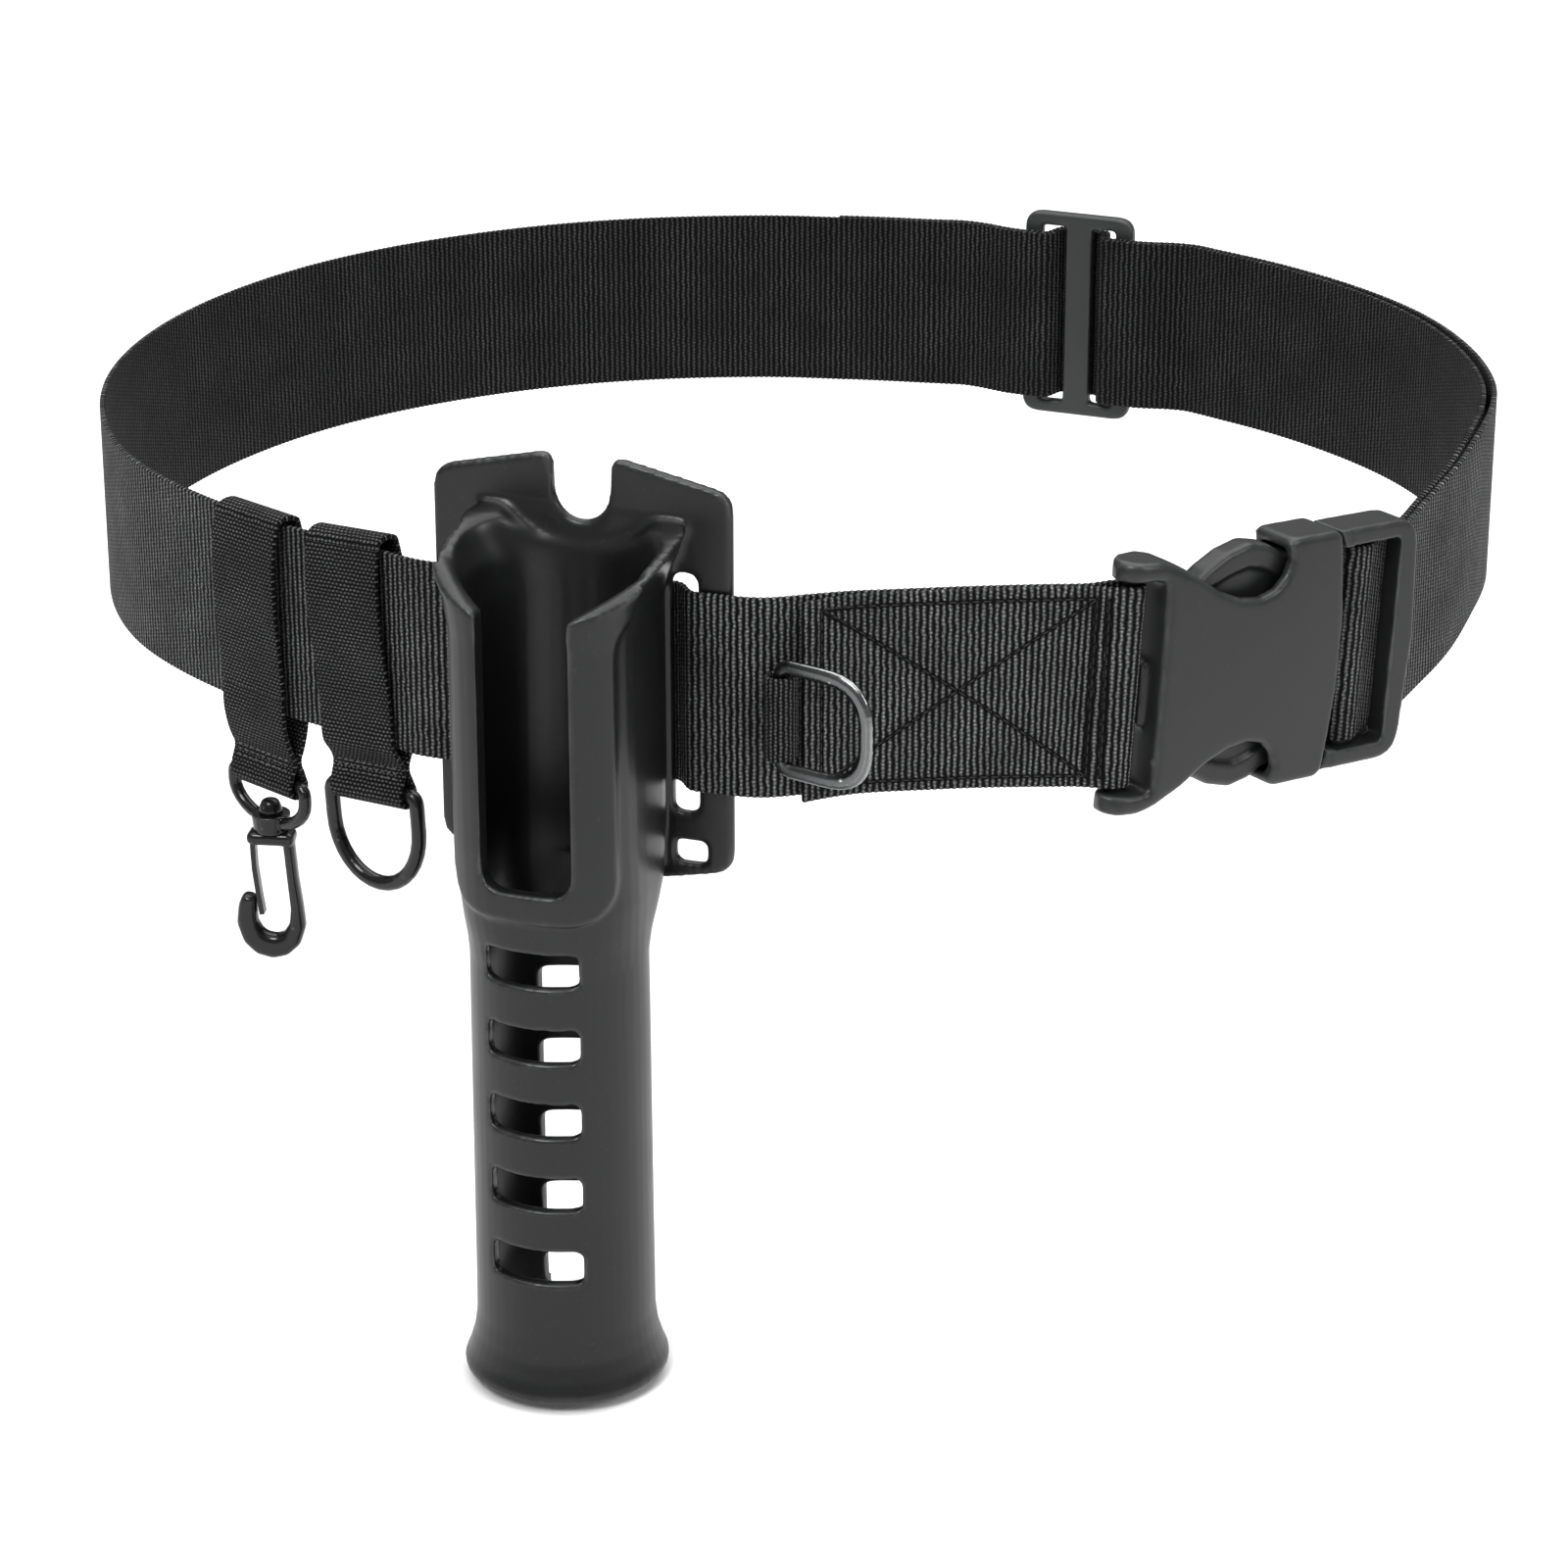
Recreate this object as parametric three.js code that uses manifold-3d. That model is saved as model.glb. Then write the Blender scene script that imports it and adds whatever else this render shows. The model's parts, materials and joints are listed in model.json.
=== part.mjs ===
// Fishing fighting belt: an adjustable webbing waist belt, fastened, with a moulded rod holder,
// a snap hook and a ring on webbing hangers, a metal D-ring, a side-release buckle and a slider.
// Millimetres. +Z is up, -Y is the front, and the origin is the middle of the waist loop.
import * as THREE from "three";
import { mergeVertices } from "three/addons/utils/BufferGeometryUtils.js";
import Module from "manifold-3d";

const wasm = await Module();
wasm.setup();

// Clearance between pieces that touch on the real belt
const gap = 0.3;

// Waist loop and its webbing
const loopHalfWidth = 183;
const loopHalfDepth = 163;
const strapWidth = 50;
const strapThick = 1.6;
const strapStep = 9;
const tailSlack = 1.2;

// Buckle, fastened: its length runs from the housing's tail to the frame's end
const buckleLength = 95;
const barInset = 5.5;
const frameBarInset = 17.5;
const barSpacing = buckleLength - barInset - frameBarInset;
const buckleDroop = THREE.MathUtils.degToRad(3.8);
const buckleSink = 1.5;
const buckleHalfThick = 7;
const buckleRim = 6.5;
const buckleHalfHeight = strapWidth / 2 + buckleRim;
const barRadius = 2;
const frameBarHalf = 3;
const housingWall = 2.6;
const housingBevel = 1.1;
const cavityRim = 3.1;
const cavityHalfHeight = buckleHalfHeight - cavityRim;
const prongWidth = 7;
const lugHeight = 16;
const lugLift = -3;
const frameHalfThick = 5.6;
const frameCorner = 7;
const prongRootHalf = 3.4;
const frameShy = 0.7;
const frameHalfHeight = buckleHalfHeight - frameShy;
const frameEndWidth = 7.3;

// Rod holder
const plateWidth = 74;
const plateThick = 3;
const plateRise = 26;
const plateDrop = 20.5;
const plateTop = strapWidth / 2 + plateRise;
const plateFoot = -strapWidth / 2 - plateDrop;
const plateCorner = 5;
const wingSlotWidth = 6.5;
const wingSlotRise = 3.4;
const wingSlotDrop = 6.4;
const wingStripWidth = 8.5;
const smallSlotWidth = 7.8;
const smallSlotHeight = 5.8;
const tubeRadius = 21.3;
const tubeTaper = 0.5;
const tubeFootRadius = tubeRadius + tubeTaper;
const axisPast = 1.7;
const axisOut = tubeRadius + axisPast;
const holderWall = 3;
const holderFoot = -172;
const flareReach = 3.3;
const flareRadius = tubeFootRadius + flareReach;
const footHeight = 26;
const cupFoot = -62;
const cupTop = 43;
const windowHalf = 11;
const windowFoot = -39.5;
const surroundHalf = 20.2;
const surroundFoot = -46.5;
const surroundFlare = 23;
const surroundProud = 1.2;
const slotCount = 5;
const slotHeight = 8.6;
const slotPitch = 19.4;
const slotHalfWidth = 11.4;
const slotCorner = 2;
const firstSlot = -59;
const backSlotDrop = 2.4;

// Slider
const sliderWidth = 33;
const sliderRim = 5.5;
const sliderHeight = strapWidth + 2 * sliderRim;
const sliderThick = 3.5;
const sliderBar = 8;
const sliderSlot = 7.2;
const sliderCorner = 5;

// Hangers, eye, hook and rings
const hangerWidth = 22.2;
const hangerThick = 1.4;
const hangerHalfDepth = 3.7;
const hookBarDrop = 18.3;
const ringBarDrop = 13.8;
const hookBarHeight = -strapWidth / 2 - hookBarDrop;
const ringBarHeight = -strapWidth / 2 - ringBarDrop;
const ringHangerLean = THREE.MathUtils.degToRad(3.5);
const ringWire = 3.6;
const ringDrop = 24.6;
const eyeWire = 3.2;
const eyeDrop = 12;
const collarTop = -9.6;
const collarHeight = 4.7;
const collarRadius = 4.9;
const stemRadius = 2.1;
const knobRadius = 2.9;
const knobHeight = 3;
const hookWire = 4.6;
const hookLength = 33;
const hookHalfWidth = 9;
const hookHalfThick = 2.2;
const headHalfWidth = 5.7;
const headHeight = 2.8;
const headHalfThick = 3;
const gateThick = 1.3;
const gateHalf = 1.5;
const hookTurn = THREE.MathUtils.degToRad(36);
const sideRingHeight = 29.5;
const sideRingReach = 28;
const sideRingWire = 3.8;
const sideRingThick = 2.4;
const sideRingTurn = THREE.MathUtils.degToRad(-39);
const sideRingLift = -3;
const tabHeight = 21;
const tabThick = 1;

// Places along the strap, as shares of the run from the housing's bar to the frame's bar
const sliderPlace = 0.6945;
const tailPlace = 0.6226;
// The hangers' middles lie this far beyond the plate's left edge
const ringHangerPast = 24.3;
const hookHangerPast = 55.1;
// The metal ring and the folded end lie this far beyond the plate's right edge
const sideRingPast = 11;
const foldPast = 15.7;

// The waist loop seen from above: each row is a point on an ellipse of the loop's half sizes.
// around is its angle in degrees, and reach its distance as a share of the ellipse's.
const loopRows = [
  { around: 289.5, reach: 1.017 },
  { around: 280.7, reach: 1.005 },
  { around: 266.6, reach: 1.0 },
  { around: 239.5, reach: 0.97 },
  { around: 225, reach: 0.984 },
  { around: 202.5, reach: 1.0 },
  { around: 180, reach: 1.0 },
  { around: 157.5, reach: 1.006 },
  { around: 135, reach: 1.02 },
  { around: 112.5, reach: 1.02 },
  { around: 90, reach: 1.0 },
  { around: 62.5, reach: 1.002 },
  { around: 45, reach: 1.008 },
  { around: 22.5, reach: 1.0 },
  { around: 0, reach: 0.987 },
  { around: -20, reach: 0.973 },
  { around: -31.7, reach: 0.974 },
  { around: -38, reach: 0.992 },
];
const housingBarRow = { around: 293.5, reach: 1.032 };
const frameBarRow = { around: -43.3, reach: 0.999 };
// The rod holder's plate sits midway between these two rows of the loop
const rowRightOfPlate = 2;
const rowLeftOfPlate = 3;

// Outside of the rod holder's cup: height is a share of the way from its foot to its top, half,
// front and back are shares of the tube's radius, and the two last are superellipse powers.
const cupRows = [
  { height: 0, half: 1.0, front: 1.0, back: 1.0, frontRound: 2, backRound: 2 },
  { height: 0.05, half: 1.01, front: 1.0, back: 0.985, frontRound: 2.1, backRound: 2.4 },
  { height: 0.1, half: 1.03, front: 1.0, back: 0.96, frontRound: 2.3, backRound: 3.4 },
  { height: 0.16, half: 1.05, front: 1.0, back: 0.94, frontRound: 2.5, backRound: 5 },
  { height: 0.3, half: 1.045, front: 1.0, back: 0.94, frontRound: 2.7, backRound: 7 },
  { height: 0.79, half: 1.03, front: 1.0, back: 0.94, frontRound: 2.8, backRound: 7 },
  { height: 0.87, half: 1.08, front: 1.0, back: 0.94, frontRound: 2.9, backRound: 7 },
  { height: 0.93, half: 1.22, front: 1.0, back: 0.94, frontRound: 3, backRound: 7 },
  { height: 1, half: 1.36, front: 1.0, back: 0.94, frontRound: 3, backRound: 7 },
];
// Powers of the cup's inside
const insideRound = { front: 2.4, back: 2.6 };

// Half of the plate's outline, from the notch round to the foot: across is a share of its half
// width, height a share of the plate's top and round a share of its corner radius.
const plateRows = [
  { across: 0.184, height: 0.792, round: 1.1 },
  { across: 0.205, height: 1.078, round: 0.6 },
  { across: 1, height: 0.951, round: 1 },
  { across: 1, height: -0.892, round: 1 },
  { across: 0.54, height: -0.961, round: 0.4 },
];

// The cup's rim seen from the side: out is a share of the way from the plate to the cup's front,
// and height a share of the plate's top.
const rimRows = [
  { out: 0, height: 0.814 },
  { out: 0.694, height: 0.698 },
  { out: 1.03, height: 0.565 },
  { out: 1.39, height: 0.431 },
  { out: 1.39, height: 1.4 },
  { out: 0, height: 1.4 },
];

// Section of the flared foot: radius is a share of the flare's, height a share of the foot's.
const footRows = [
  { radius: 0.32, height: 1 },
  { radius: 0.8665, height: 1 },
  { radius: 0.8685, height: 0.577 },
  { radius: 0.896, height: 0.365 },
  { radius: 0.952, height: 0.177 },
  { radius: 1, height: 0.069 },
  { radius: 0.992, height: 0 },
  { radius: 0.904, height: 0 },
  { radius: 0.817, height: 0.177 },
  { radius: 0.749, height: 0.4615 },
  { radius: 0.32, height: 0.4615 },
  { radius: 0.32, height: 1 },
];

// Upper half of the housing's outline: along is a share of the buckle's length from the
// housing's tail, and half a share of its half height.
const housingRows = [
  { along: 0, half: 0.952 },
  { along: 0.017, half: 1 },
  { along: 0.095, half: 1 },
  { along: 0.147, half: 0.959 },
  { along: 0.21, half: 0.857 },
  { along: 0.295, half: 0.692 },
  { along: 0.368, half: 0.603 },
  { along: 0.432, half: 0.581 },
  { along: 0.484, half: 0.622 },
  { along: 0.516, half: 0.714 },
  { along: 0.5305, half: 0.825 },
  { along: 0.52, half: 0.959 },
  { along: 0.539, half: 1 },
  { along: 0.684, half: 1 },
  { along: 0.705, half: 0.952 },
  { along: 0.718, half: 0.635 },
  { along: 0.7305, half: 0.254 },
];
// The housing seen from above: out is a share of its half thickness, front first.
const housingPlanRows = [
  { along: 0, out: 0.15 },
  { along: 0.012, out: 0.62 },
  { along: 0.045, out: 0.93 },
  { along: 0.1, out: 1 },
  { along: 0.8, out: 1 },
  { along: 0.8, out: -1 },
  { along: 0.26, out: -1 },
  { along: 0.12, out: -0.72 },
  { along: 0.045, out: -0.6 },
  { along: 0.012, out: -0.3 },
];
// The housing's cavity and the frame's opening start at these shares of the buckle's length
const cavityStart = 0.2;
const rootStart = 0.611;
const mouthStart = 0.743;
const openingStart = 0.716;

// Middle line of a prong from its root to its tip, in the same shares; wide is a share of the
// prong's width.
const prongRows = [
  { along: 0.653, half: 0.714, wide: 1 },
  { along: 0.568, half: 0.749, wide: 0.86 },
  { along: 0.516, half: 0.781, wide: 0.86 },
  { along: 0.474, half: 0.844, wide: 0.91 },
  { along: 0.421, half: 0.876, wide: 0.91 },
  { along: 0.358, half: 0.832, wide: 0.86 },
  { along: 0.295, half: 0.749, wide: 0.71 },
  { along: 0.242, half: 0.654, wide: 0.51 },
];

// The hook's bend, from its top down and round to its tip: across is a share of the half width,
// down a share of the length, and wire a share of the wire's size.
const hookRows = [
  { across: 0.46, down: 0.04, wire: 0.5 },
  { across: 0.49, down: 0.14, wire: 0.46 },
  { across: 0.55, down: 0.37, wire: 0.46 },
  { across: 0.64, down: 0.62, wire: 0.54 },
  { across: 0.64, down: 0.76, wire: 0.74 },
  { across: 0.46, down: 0.875, wire: 0.95 },
  { across: 0.2, down: 0.93, wire: 1.15 },
  { across: -0.08, down: 0.945, wire: 1.27 },
  { across: -0.38, down: 0.925, wire: 1.25 },
  { across: -0.63, down: 0.865, wire: 1.15 },
  { across: -0.79, down: 0.75, wire: 1.0 },
  { across: -0.76, down: 0.62, wire: 0.88 },
  { across: -0.69, down: 0.54, wire: 0.66 },
];

// The gate from its root down to its foot: along is a share of its length, and bow the share of
// its thickness by which it bends toward the tip's side.
const gateRows = [
  { along: 0, bow: 0 },
  { along: 0.35, bow: 0.3 },
  { along: 0.7, bow: 0.2 },
  { along: 1, bow: 0 },
];

const up = new THREE.Vector3(0, 0, 1);

// Materials
const webbing = () => new THREE.MeshStandardMaterial({ color: 0x1b1b1c, roughness: 0.9, metalness: 0 });
const plastic = () => new THREE.MeshStandardMaterial({ color: 0x2a2c2e, roughness: 0.45, metalness: 0 });
const gunmetal = () => new THREE.MeshStandardMaterial({ color: 0x4a4c50, roughness: 0.35, metalness: 1 });

// A smooth step from 0 to 1
const ease = (t) => THREE.MathUtils.smoothstep(t, 0, 1);

// Joins equal corners, so that the surface is one closed body
function welded(geometry) {
  const bare = geometry.clone();
  bare.deleteAttribute("normal");
  bare.deleteAttribute("uv");
  return mergeVertices(bare, 1e-4);
}

function signedVolume(geometry) {
  const place = geometry.getAttribute("position");
  const index = geometry.getIndex();
  const a = new THREE.Vector3();
  const b = new THREE.Vector3();
  const c = new THREE.Vector3();
  let sum = 0;
  for (let i = 0; i < index.count; i += 3) {
    a.fromBufferAttribute(place, index.getX(i));
    b.fromBufferAttribute(place, index.getX(i + 1));
    c.fromBufferAttribute(place, index.getX(i + 2));
    sum += a.dot(b.cross(c)) / 6;
  }
  return sum;
}

// Faces pointing out
function outward(geometry) {
  const solid = welded(geometry);
  if (signedVolume(solid) < 0) {
    const index = solid.getIndex();
    for (let i = 0; i < index.count; i += 3) {
      const second = index.getX(i + 1);
      index.setX(i + 1, index.getX(i + 2));
      index.setX(i + 2, second);
    }
  }
  return solid;
}

function toSolid(geometry) {
  const closed = outward(geometry);
  return new wasm.Manifold(
    new wasm.Mesh({
      numProp: 3,
      vertProperties: new Float32Array(closed.getAttribute("position").array),
      triVerts: new Uint32Array(closed.getIndex().array),
    }),
  );
}

function toGeometry(solid) {
  const mesh = solid.getMesh();
  const geometry = new THREE.BufferGeometry();
  geometry.setAttribute("position", new THREE.BufferAttribute(mesh.vertProperties, 3));
  geometry.setIndex(new THREE.BufferAttribute(mesh.triVerts, 1));
  return geometry;
}

const joined = (first, ...rest) => rest.reduce((sum, next) => sum.add(next), first);
const cut = (first, ...rest) => rest.reduce((sum, next) => sum.subtract(next), first);

// A closed surface through sections with equal numbers of points
function loft(sections, closed = false) {
  const count = sections[0].length;
  const corners = sections.flat().flatMap((point) => point.toArray());
  const faces = [];
  const last = closed ? sections.length : sections.length - 1;
  for (let i = 0; i < last; i += 1) {
    const here = i * count;
    const next = ((i + 1) % sections.length) * count;
    for (let k = 0; k < count; k += 1) {
      const side = (k + 1) % count;
      faces.push(here + k, here + side, next + side, here + k, next + side, next + k);
    }
  }
  if (!closed) {
    const end = (sections.length - 1) * count;
    for (let k = 1; k < count - 1; k += 1) {
      faces.push(0, k + 1, k, end, end + k, end + k + 1);
    }
  }
  const geometry = new THREE.BufferGeometry();
  geometry.setAttribute("position", new THREE.Float32BufferAttribute(corners, 3));
  geometry.setIndex(faces);
  return geometry;
}

// Directions across a flat route, lengthened at its bends so that a band keeps its thickness
function acrossRoute(route, closed = false) {
  const count = route.length;
  return route.map((point, i) => {
    const before = route[closed ? (i + count - 1) % count : Math.max(i - 1, 0)];
    const after = route[closed ? (i + 1) % count : Math.min(i + 1, count - 1)];
    const arrive = point.clone().sub(before).normalize();
    const leave = after.clone().sub(point).normalize();
    const run = arrive.clone().add(leave).normalize();
    const stretch = 1 / Math.max(Math.max(run.dot(arrive), run.dot(leave)), 0.5);
    return new THREE.Vector2(-run.y, run.x).multiplyScalar(stretch);
  });
}

// Sections of a band of even thickness along a flat route; place turns a route point and the
// share of the band's width into a corner
function bandSections(route, thick, closed, place) {
  const across = acrossRoute(route, closed);
  const corners = [
    { side: 1, end: 1 },
    { side: 1, end: -1 },
    { side: -1, end: -1 },
    { side: -1, end: 1 },
  ];
  return route.map((point, i) =>
    corners.map(({ side, end }) => {
      const corner = point.clone().addScaledVector(across[i], (side * thick) / 2);
      return place(corner, end);
    }),
  );
}

// A shape with one rounded corner for each row of points
function roundedShape(corners) {
  const shape = new THREE.Shape();
  const to = (first, x, y) => (first ? shape.moveTo(x, y) : shape.lineTo(x, y));
  corners.forEach(({ x, y, r = 0 }, i) => {
    const here = new THREE.Vector2(x, y);
    if (r === 0) {
      to(i === 0, x, y);
      return;
    }
    const before = corners[(i + corners.length - 1) % corners.length];
    const after = corners[(i + 1) % corners.length];
    const back = new THREE.Vector2(before.x, before.y).sub(here).setLength(r).add(here);
    const ahead = new THREE.Vector2(after.x, after.y).sub(here).setLength(r).add(here);
    to(i === 0, back.x, back.y);
    shape.quadraticCurveTo(x, y, ahead.x, ahead.y);
  });
  shape.closePath();
  return shape;
}

const roundedBox = (left, right, low, high, r = 0) =>
  roundedShape([
    { x: left, y: low, r },
    { x: right, y: low, r },
    { x: right, y: high, r },
    { x: left, y: high, r },
  ]);

// A shape drawn in the x-z plane, made solid from y = near to y = far
function slab(shape, near, far, bevel = 0) {
  const geometry = new THREE.ExtrudeGeometry(shape, {
    depth: far - near - 2 * bevel,
    bevelEnabled: bevel > 0,
    bevelSize: bevel,
    bevelOffset: -bevel,
    bevelThickness: bevel,
    bevelSegments: 2,
    curveSegments: 5,
  });
  geometry.rotateX(Math.PI / 2);
  geometry.translate(0, far - bevel, 0);
  return geometry;
}

// A standing cylinder round (x, y), from its foot to its top
function upright(radiusTop, radiusFoot, foot, top, sides, x = 0, y = 0) {
  const geometry = new THREE.CylinderGeometry(radiusTop, radiusFoot, top - foot, sides);
  geometry.rotateX(Math.PI / 2);
  geometry.translate(x, y, (top + foot) / 2);
  return geometry;
}

// A round or flat wire along a closed flat route in the x-z plane
function wireLoop(route, width, thick, sides) {
  const across = acrossRoute(route, true);
  const sections = route.map((point, i) =>
    Array.from({ length: sides }, (_, k) => {
      const angle = ((k + 0.5) / sides) * 2 * Math.PI;
      const off = across[i].clone().multiplyScalar((width / 2) * Math.cos(angle));
      return new THREE.Vector3(point.x + off.x, (thick / 2) * Math.sin(angle), point.y + off.y);
    }),
  );
  return loft(sections, true);
}

// Pieces are placed by local frames: x along the strap to the right, y into the waist, z up
function frameAt(origin, along) {
  const right = along.clone().normalize();
  const upward = up.clone().addScaledVector(right, -up.dot(right)).normalize();
  const inward = upward.clone().cross(right);
  return new THREE.Matrix4().makeBasis(right, inward, upward).setPosition(origin);
}

// The strap's run, from the bar of the buckle's housing round the waist to the frame's bar
function ellipsePoint({ around, reach }) {
  const angle = THREE.MathUtils.degToRad(around);
  const x = loopHalfWidth * reach * Math.cos(angle);
  const y = loopHalfDepth * reach * Math.sin(angle);
  return new THREE.Vector3(x, y, 0);
}
const rowPoints = loopRows.map(ellipsePoint);
const buckleRun = ellipsePoint(frameBarRow).sub(ellipsePoint(housingBarRow)).normalize();
const buckleMiddle = ellipsePoint(frameBarRow).lerp(ellipsePoint(housingBarRow), 0.5);
const barReach = barSpacing * Math.cos(buckleDroop);
const housingBar = buckleMiddle.clone().addScaledVector(buckleRun, -barReach / 2);
const frameBar = buckleMiddle.clone().addScaledVector(buckleRun, barReach / 2);
const loopCurve = new THREE.CatmullRomCurve3([housingBar, ...rowPoints, frameBar], false, "centripetal");
loopCurve.arcLengthDivisions = 2000;
const loopLength = loopCurve.getLength();

// The place on the run that is nearest to a point
function nearestRun(target) {
  const steps = 600;
  let best = 0;
  for (let i = 1; i <= steps; i += 1) {
    const here = loopCurve.getPointAt(i / steps).distanceTo(target);
    if (here < loopCurve.getPointAt(best / steps).distanceTo(target)) {
      best = i;
    }
  }
  return (best / steps) * loopLength;
}

const plateMiddle = nearestRun(rowPoints[rowRightOfPlate].clone().lerp(rowPoints[rowLeftOfPlate], 0.5));
const sliderMiddle = sliderPlace * loopLength;
const sideRingAt = plateMiddle - plateWidth / 2 - sideRingPast;
const foldAt = plateMiddle - plateWidth / 2 - foldPast;
const tailAt = tailPlace * loopLength;

// The run is straight past the rod holder's plate and through the slider, and bends back into
// its curve over straightBlend
const straightExtra = 6;
const straightBlend = 24;
function straightStretch(middle, width) {
  const half = width / 2 + straightExtra;
  const start = loopCurve.getPointAt((middle - half) / loopLength);
  const end = loopCurve.getPointAt((middle + half) / loopLength);
  return { middle, half, start, end };
}
const stretches = [straightStretch(plateMiddle, plateWidth), straightStretch(sliderMiddle, sliderWidth)];

function runPoint(run) {
  const point = loopCurve.getPointAt(THREE.MathUtils.clamp(run / loopLength, 0, 1));
  for (const { middle, half, start, end } of stretches) {
    const away = Math.abs(run - middle);
    if (away < half + straightBlend) {
      const straight = start.clone().lerp(end, (run - middle + half) / (2 * half));
      point.lerp(straight, ease((half + straightBlend - away) / straightBlend));
    }
  }
  return point;
}

function runDirection(run) {
  const low = Math.max(run - 1, 0);
  const high = Math.min(run + 1, loopLength);
  return runPoint(high).sub(runPoint(low)).normalize();
}

// The side of the strap that faces away from the wearer
const outFrom = (direction) => new THREE.Vector3(-direction.y, direction.x, 0);

// A frame on the strap's run
const strapFrame = (run) => frameAt(runPoint(run), runDirection(run).negate());

// How far the strap stands out of its run at the rod holder: it passes behind the plate's middle
// and over its outer strips
const slotInner = plateWidth / 2 - wingStripWidth - wingSlotWidth;
const slotOuter = plateWidth / 2 - wingStripWidth;
const slotMargin = 0.65;
const stripOut = strapThick + plateThick + 2 * gap;
const stripRamp = 22;
function holderOut(run) {
  const away = Math.abs(run - plateMiddle);
  const room = slotOuter - slotInner - 2 * slotMargin;
  const enter = THREE.MathUtils.clamp((away - slotInner - slotMargin) / room, 0, 1);
  const leave = ease((away - plateWidth / 2 - 1) / stripRamp);
  return stripOut * enter * (1 - leave);
}

// How far the double strap stands out at the slider: outside its middle bar, inside its outer ones
const weaveOut = sliderThick / 2 + gap + strapThick + gap / 2;
const weaveHalf = 2.2;
const weaveRamp = 20;
const sliderSlotMiddle = (sliderBar + sliderSlot) / 2;
function sliderOut(run) {
  const away = Math.abs(run - sliderMiddle);
  const cross = THREE.MathUtils.clamp((sliderSlotMiddle - away) / weaveHalf, -1, 1);
  const leave = ease((away - sliderWidth / 2 - 0.5) / weaveRamp);
  return weaveOut * cross * (1 - leave);
}

// The strap's middle line in plan, midway between its layers where it lies double
function linePoint(run) {
  const out = holderOut(run) + sliderOut(run);
  const point = runPoint(run).addScaledVector(outFrom(runDirection(run)), out);
  return new THREE.Vector2(point.x, point.y);
}

// A frame on the strap's middle line, out of it by a distance
function lineFrame(run, out) {
  const reach = 3;
  const ahead = linePoint(run + reach);
  const behind = linePoint(run - reach);
  const direction = new THREE.Vector3(ahead.x - behind.x, ahead.y - behind.y, 0).normalize();
  const origin = linePoint(run);
  const place = new THREE.Vector3(origin.x, origin.y, 0).addScaledVector(outFrom(direction), out);
  return frameAt(place, direction.negate());
}

// The strap hangs with the buckle at its two bars: its lean, and how far it sinks at the frame's
const leanRun = 40;
const sinkRun = 70;
const endReach = 19;
function hangAt(run) {
  const fromFrame = loopLength - run - endReach;
  const lean = buckleDroop * (ease(1 - run / leanRun) + ease(1 - fromFrame / leanRun));
  const frameSink = buckleSink + (barSpacing + endReach) * Math.sin(buckleDroop);
  const sink = buckleSink * ease(1 - run / leanRun) + frameSink * ease(1 - fromFrame / sinkRun);
  return { z: -sink, lean };
}

// Places where the strap weaves through something, and its bends to both sides of them
const weaves = [
  {
    middle: plateMiddle,
    reach: 66,
    marks: [0, 14, slotInner + slotMargin, slotOuter - slotMargin, 33, 38, 41.5, 45, 49, 52.7, 58, 64],
  },
  {
    middle: sliderMiddle,
    reach: 40,
    marks: [0, 3.2, sliderSlotMiddle - weaveHalf, sliderSlotMiddle + weaveHalf, 12, 16.5, 20, 24, 29, 35],
  },
];

// Runs from one place to a later one, close together where the strap weaves
function runsBetween(from, to) {
  const runs = new Set([from, to]);
  const count = Math.ceil((to - from) / strapStep);
  for (let i = 1; i < count; i += 1) {
    const run = from + ((to - from) * i) / count;
    if (weaves.every(({ middle, reach }) => Math.abs(run - middle) > reach)) {
      runs.add(run);
    }
  }
  for (const { middle, marks } of weaves) {
    for (const run of marks.flatMap((mark) => [middle - mark, middle + mark])) {
      if (run > from + 1 && run < to - 1) {
        runs.add(run);
      }
    }
  }
  return [...runs].sort((a, b) => a - b);
}

// One layer of the strap, off its middle line by a distance that may change along it
function layer(from, to, offAt) {
  const runs = runsBetween(from, to);
  const line = runs.map(linePoint);
  const across = acrossRoute(line);
  return runs.map((run, i) => ({
    point: line[i].clone().addScaledVector(across[i], offAt(run)),
    ...hangAt(run),
  }));
}

// The inner layer lies on the middle line itself where the strap is single
const layerOff = (strapThick + gap) / 2;
const foldBlend = 8;
const tailBlend = 20;
function innerOff(run) {
  const single = Math.min(ease((run - foldAt) / foldBlend), ease((tailAt - run) / tailBlend));
  return -layerOff * (1 - single);
}

// The tail lies loosely on the right side, and stands a little off the layer under it
function tailOff(run) {
  const start = sliderMiddle + sliderWidth;
  const share = (run - start) / (loopLength - 45 - start);
  return layerOff + (share > 0 && share < 1 ? tailSlack * Math.sin(Math.PI * share) : 0);
}

// A point in the buckle's frame, which starts at the housing's bar; y points into the waist
function onBuckle(x, y) {
  const inward = outFrom(buckleRun);
  const place = housingBar.clone().addScaledVector(buckleRun, x * Math.cos(buckleDroop));
  place.addScaledVector(inward, y);
  return {
    point: new THREE.Vector2(place.x, place.y),
    z: -buckleSink - x * Math.sin(buckleDroop),
    lean: buckleDroop,
  };
}

// Points of the strap round a bar of the buckle; 90 degrees is its inner side, 0 its right
const wrapRadius = barRadius + gap + strapThick / 2;
function roundBar(x, flat, from, to) {
  const steps = 10;
  return Array.from({ length: steps + 1 }, (_, i) => {
    const angle = THREE.MathUtils.degToRad(from + ((to - from) * i) / steps);
    return onBuckle(x + (wrapRadius + flat) * Math.cos(angle), wrapRadius * Math.sin(angle));
  });
}

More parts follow.
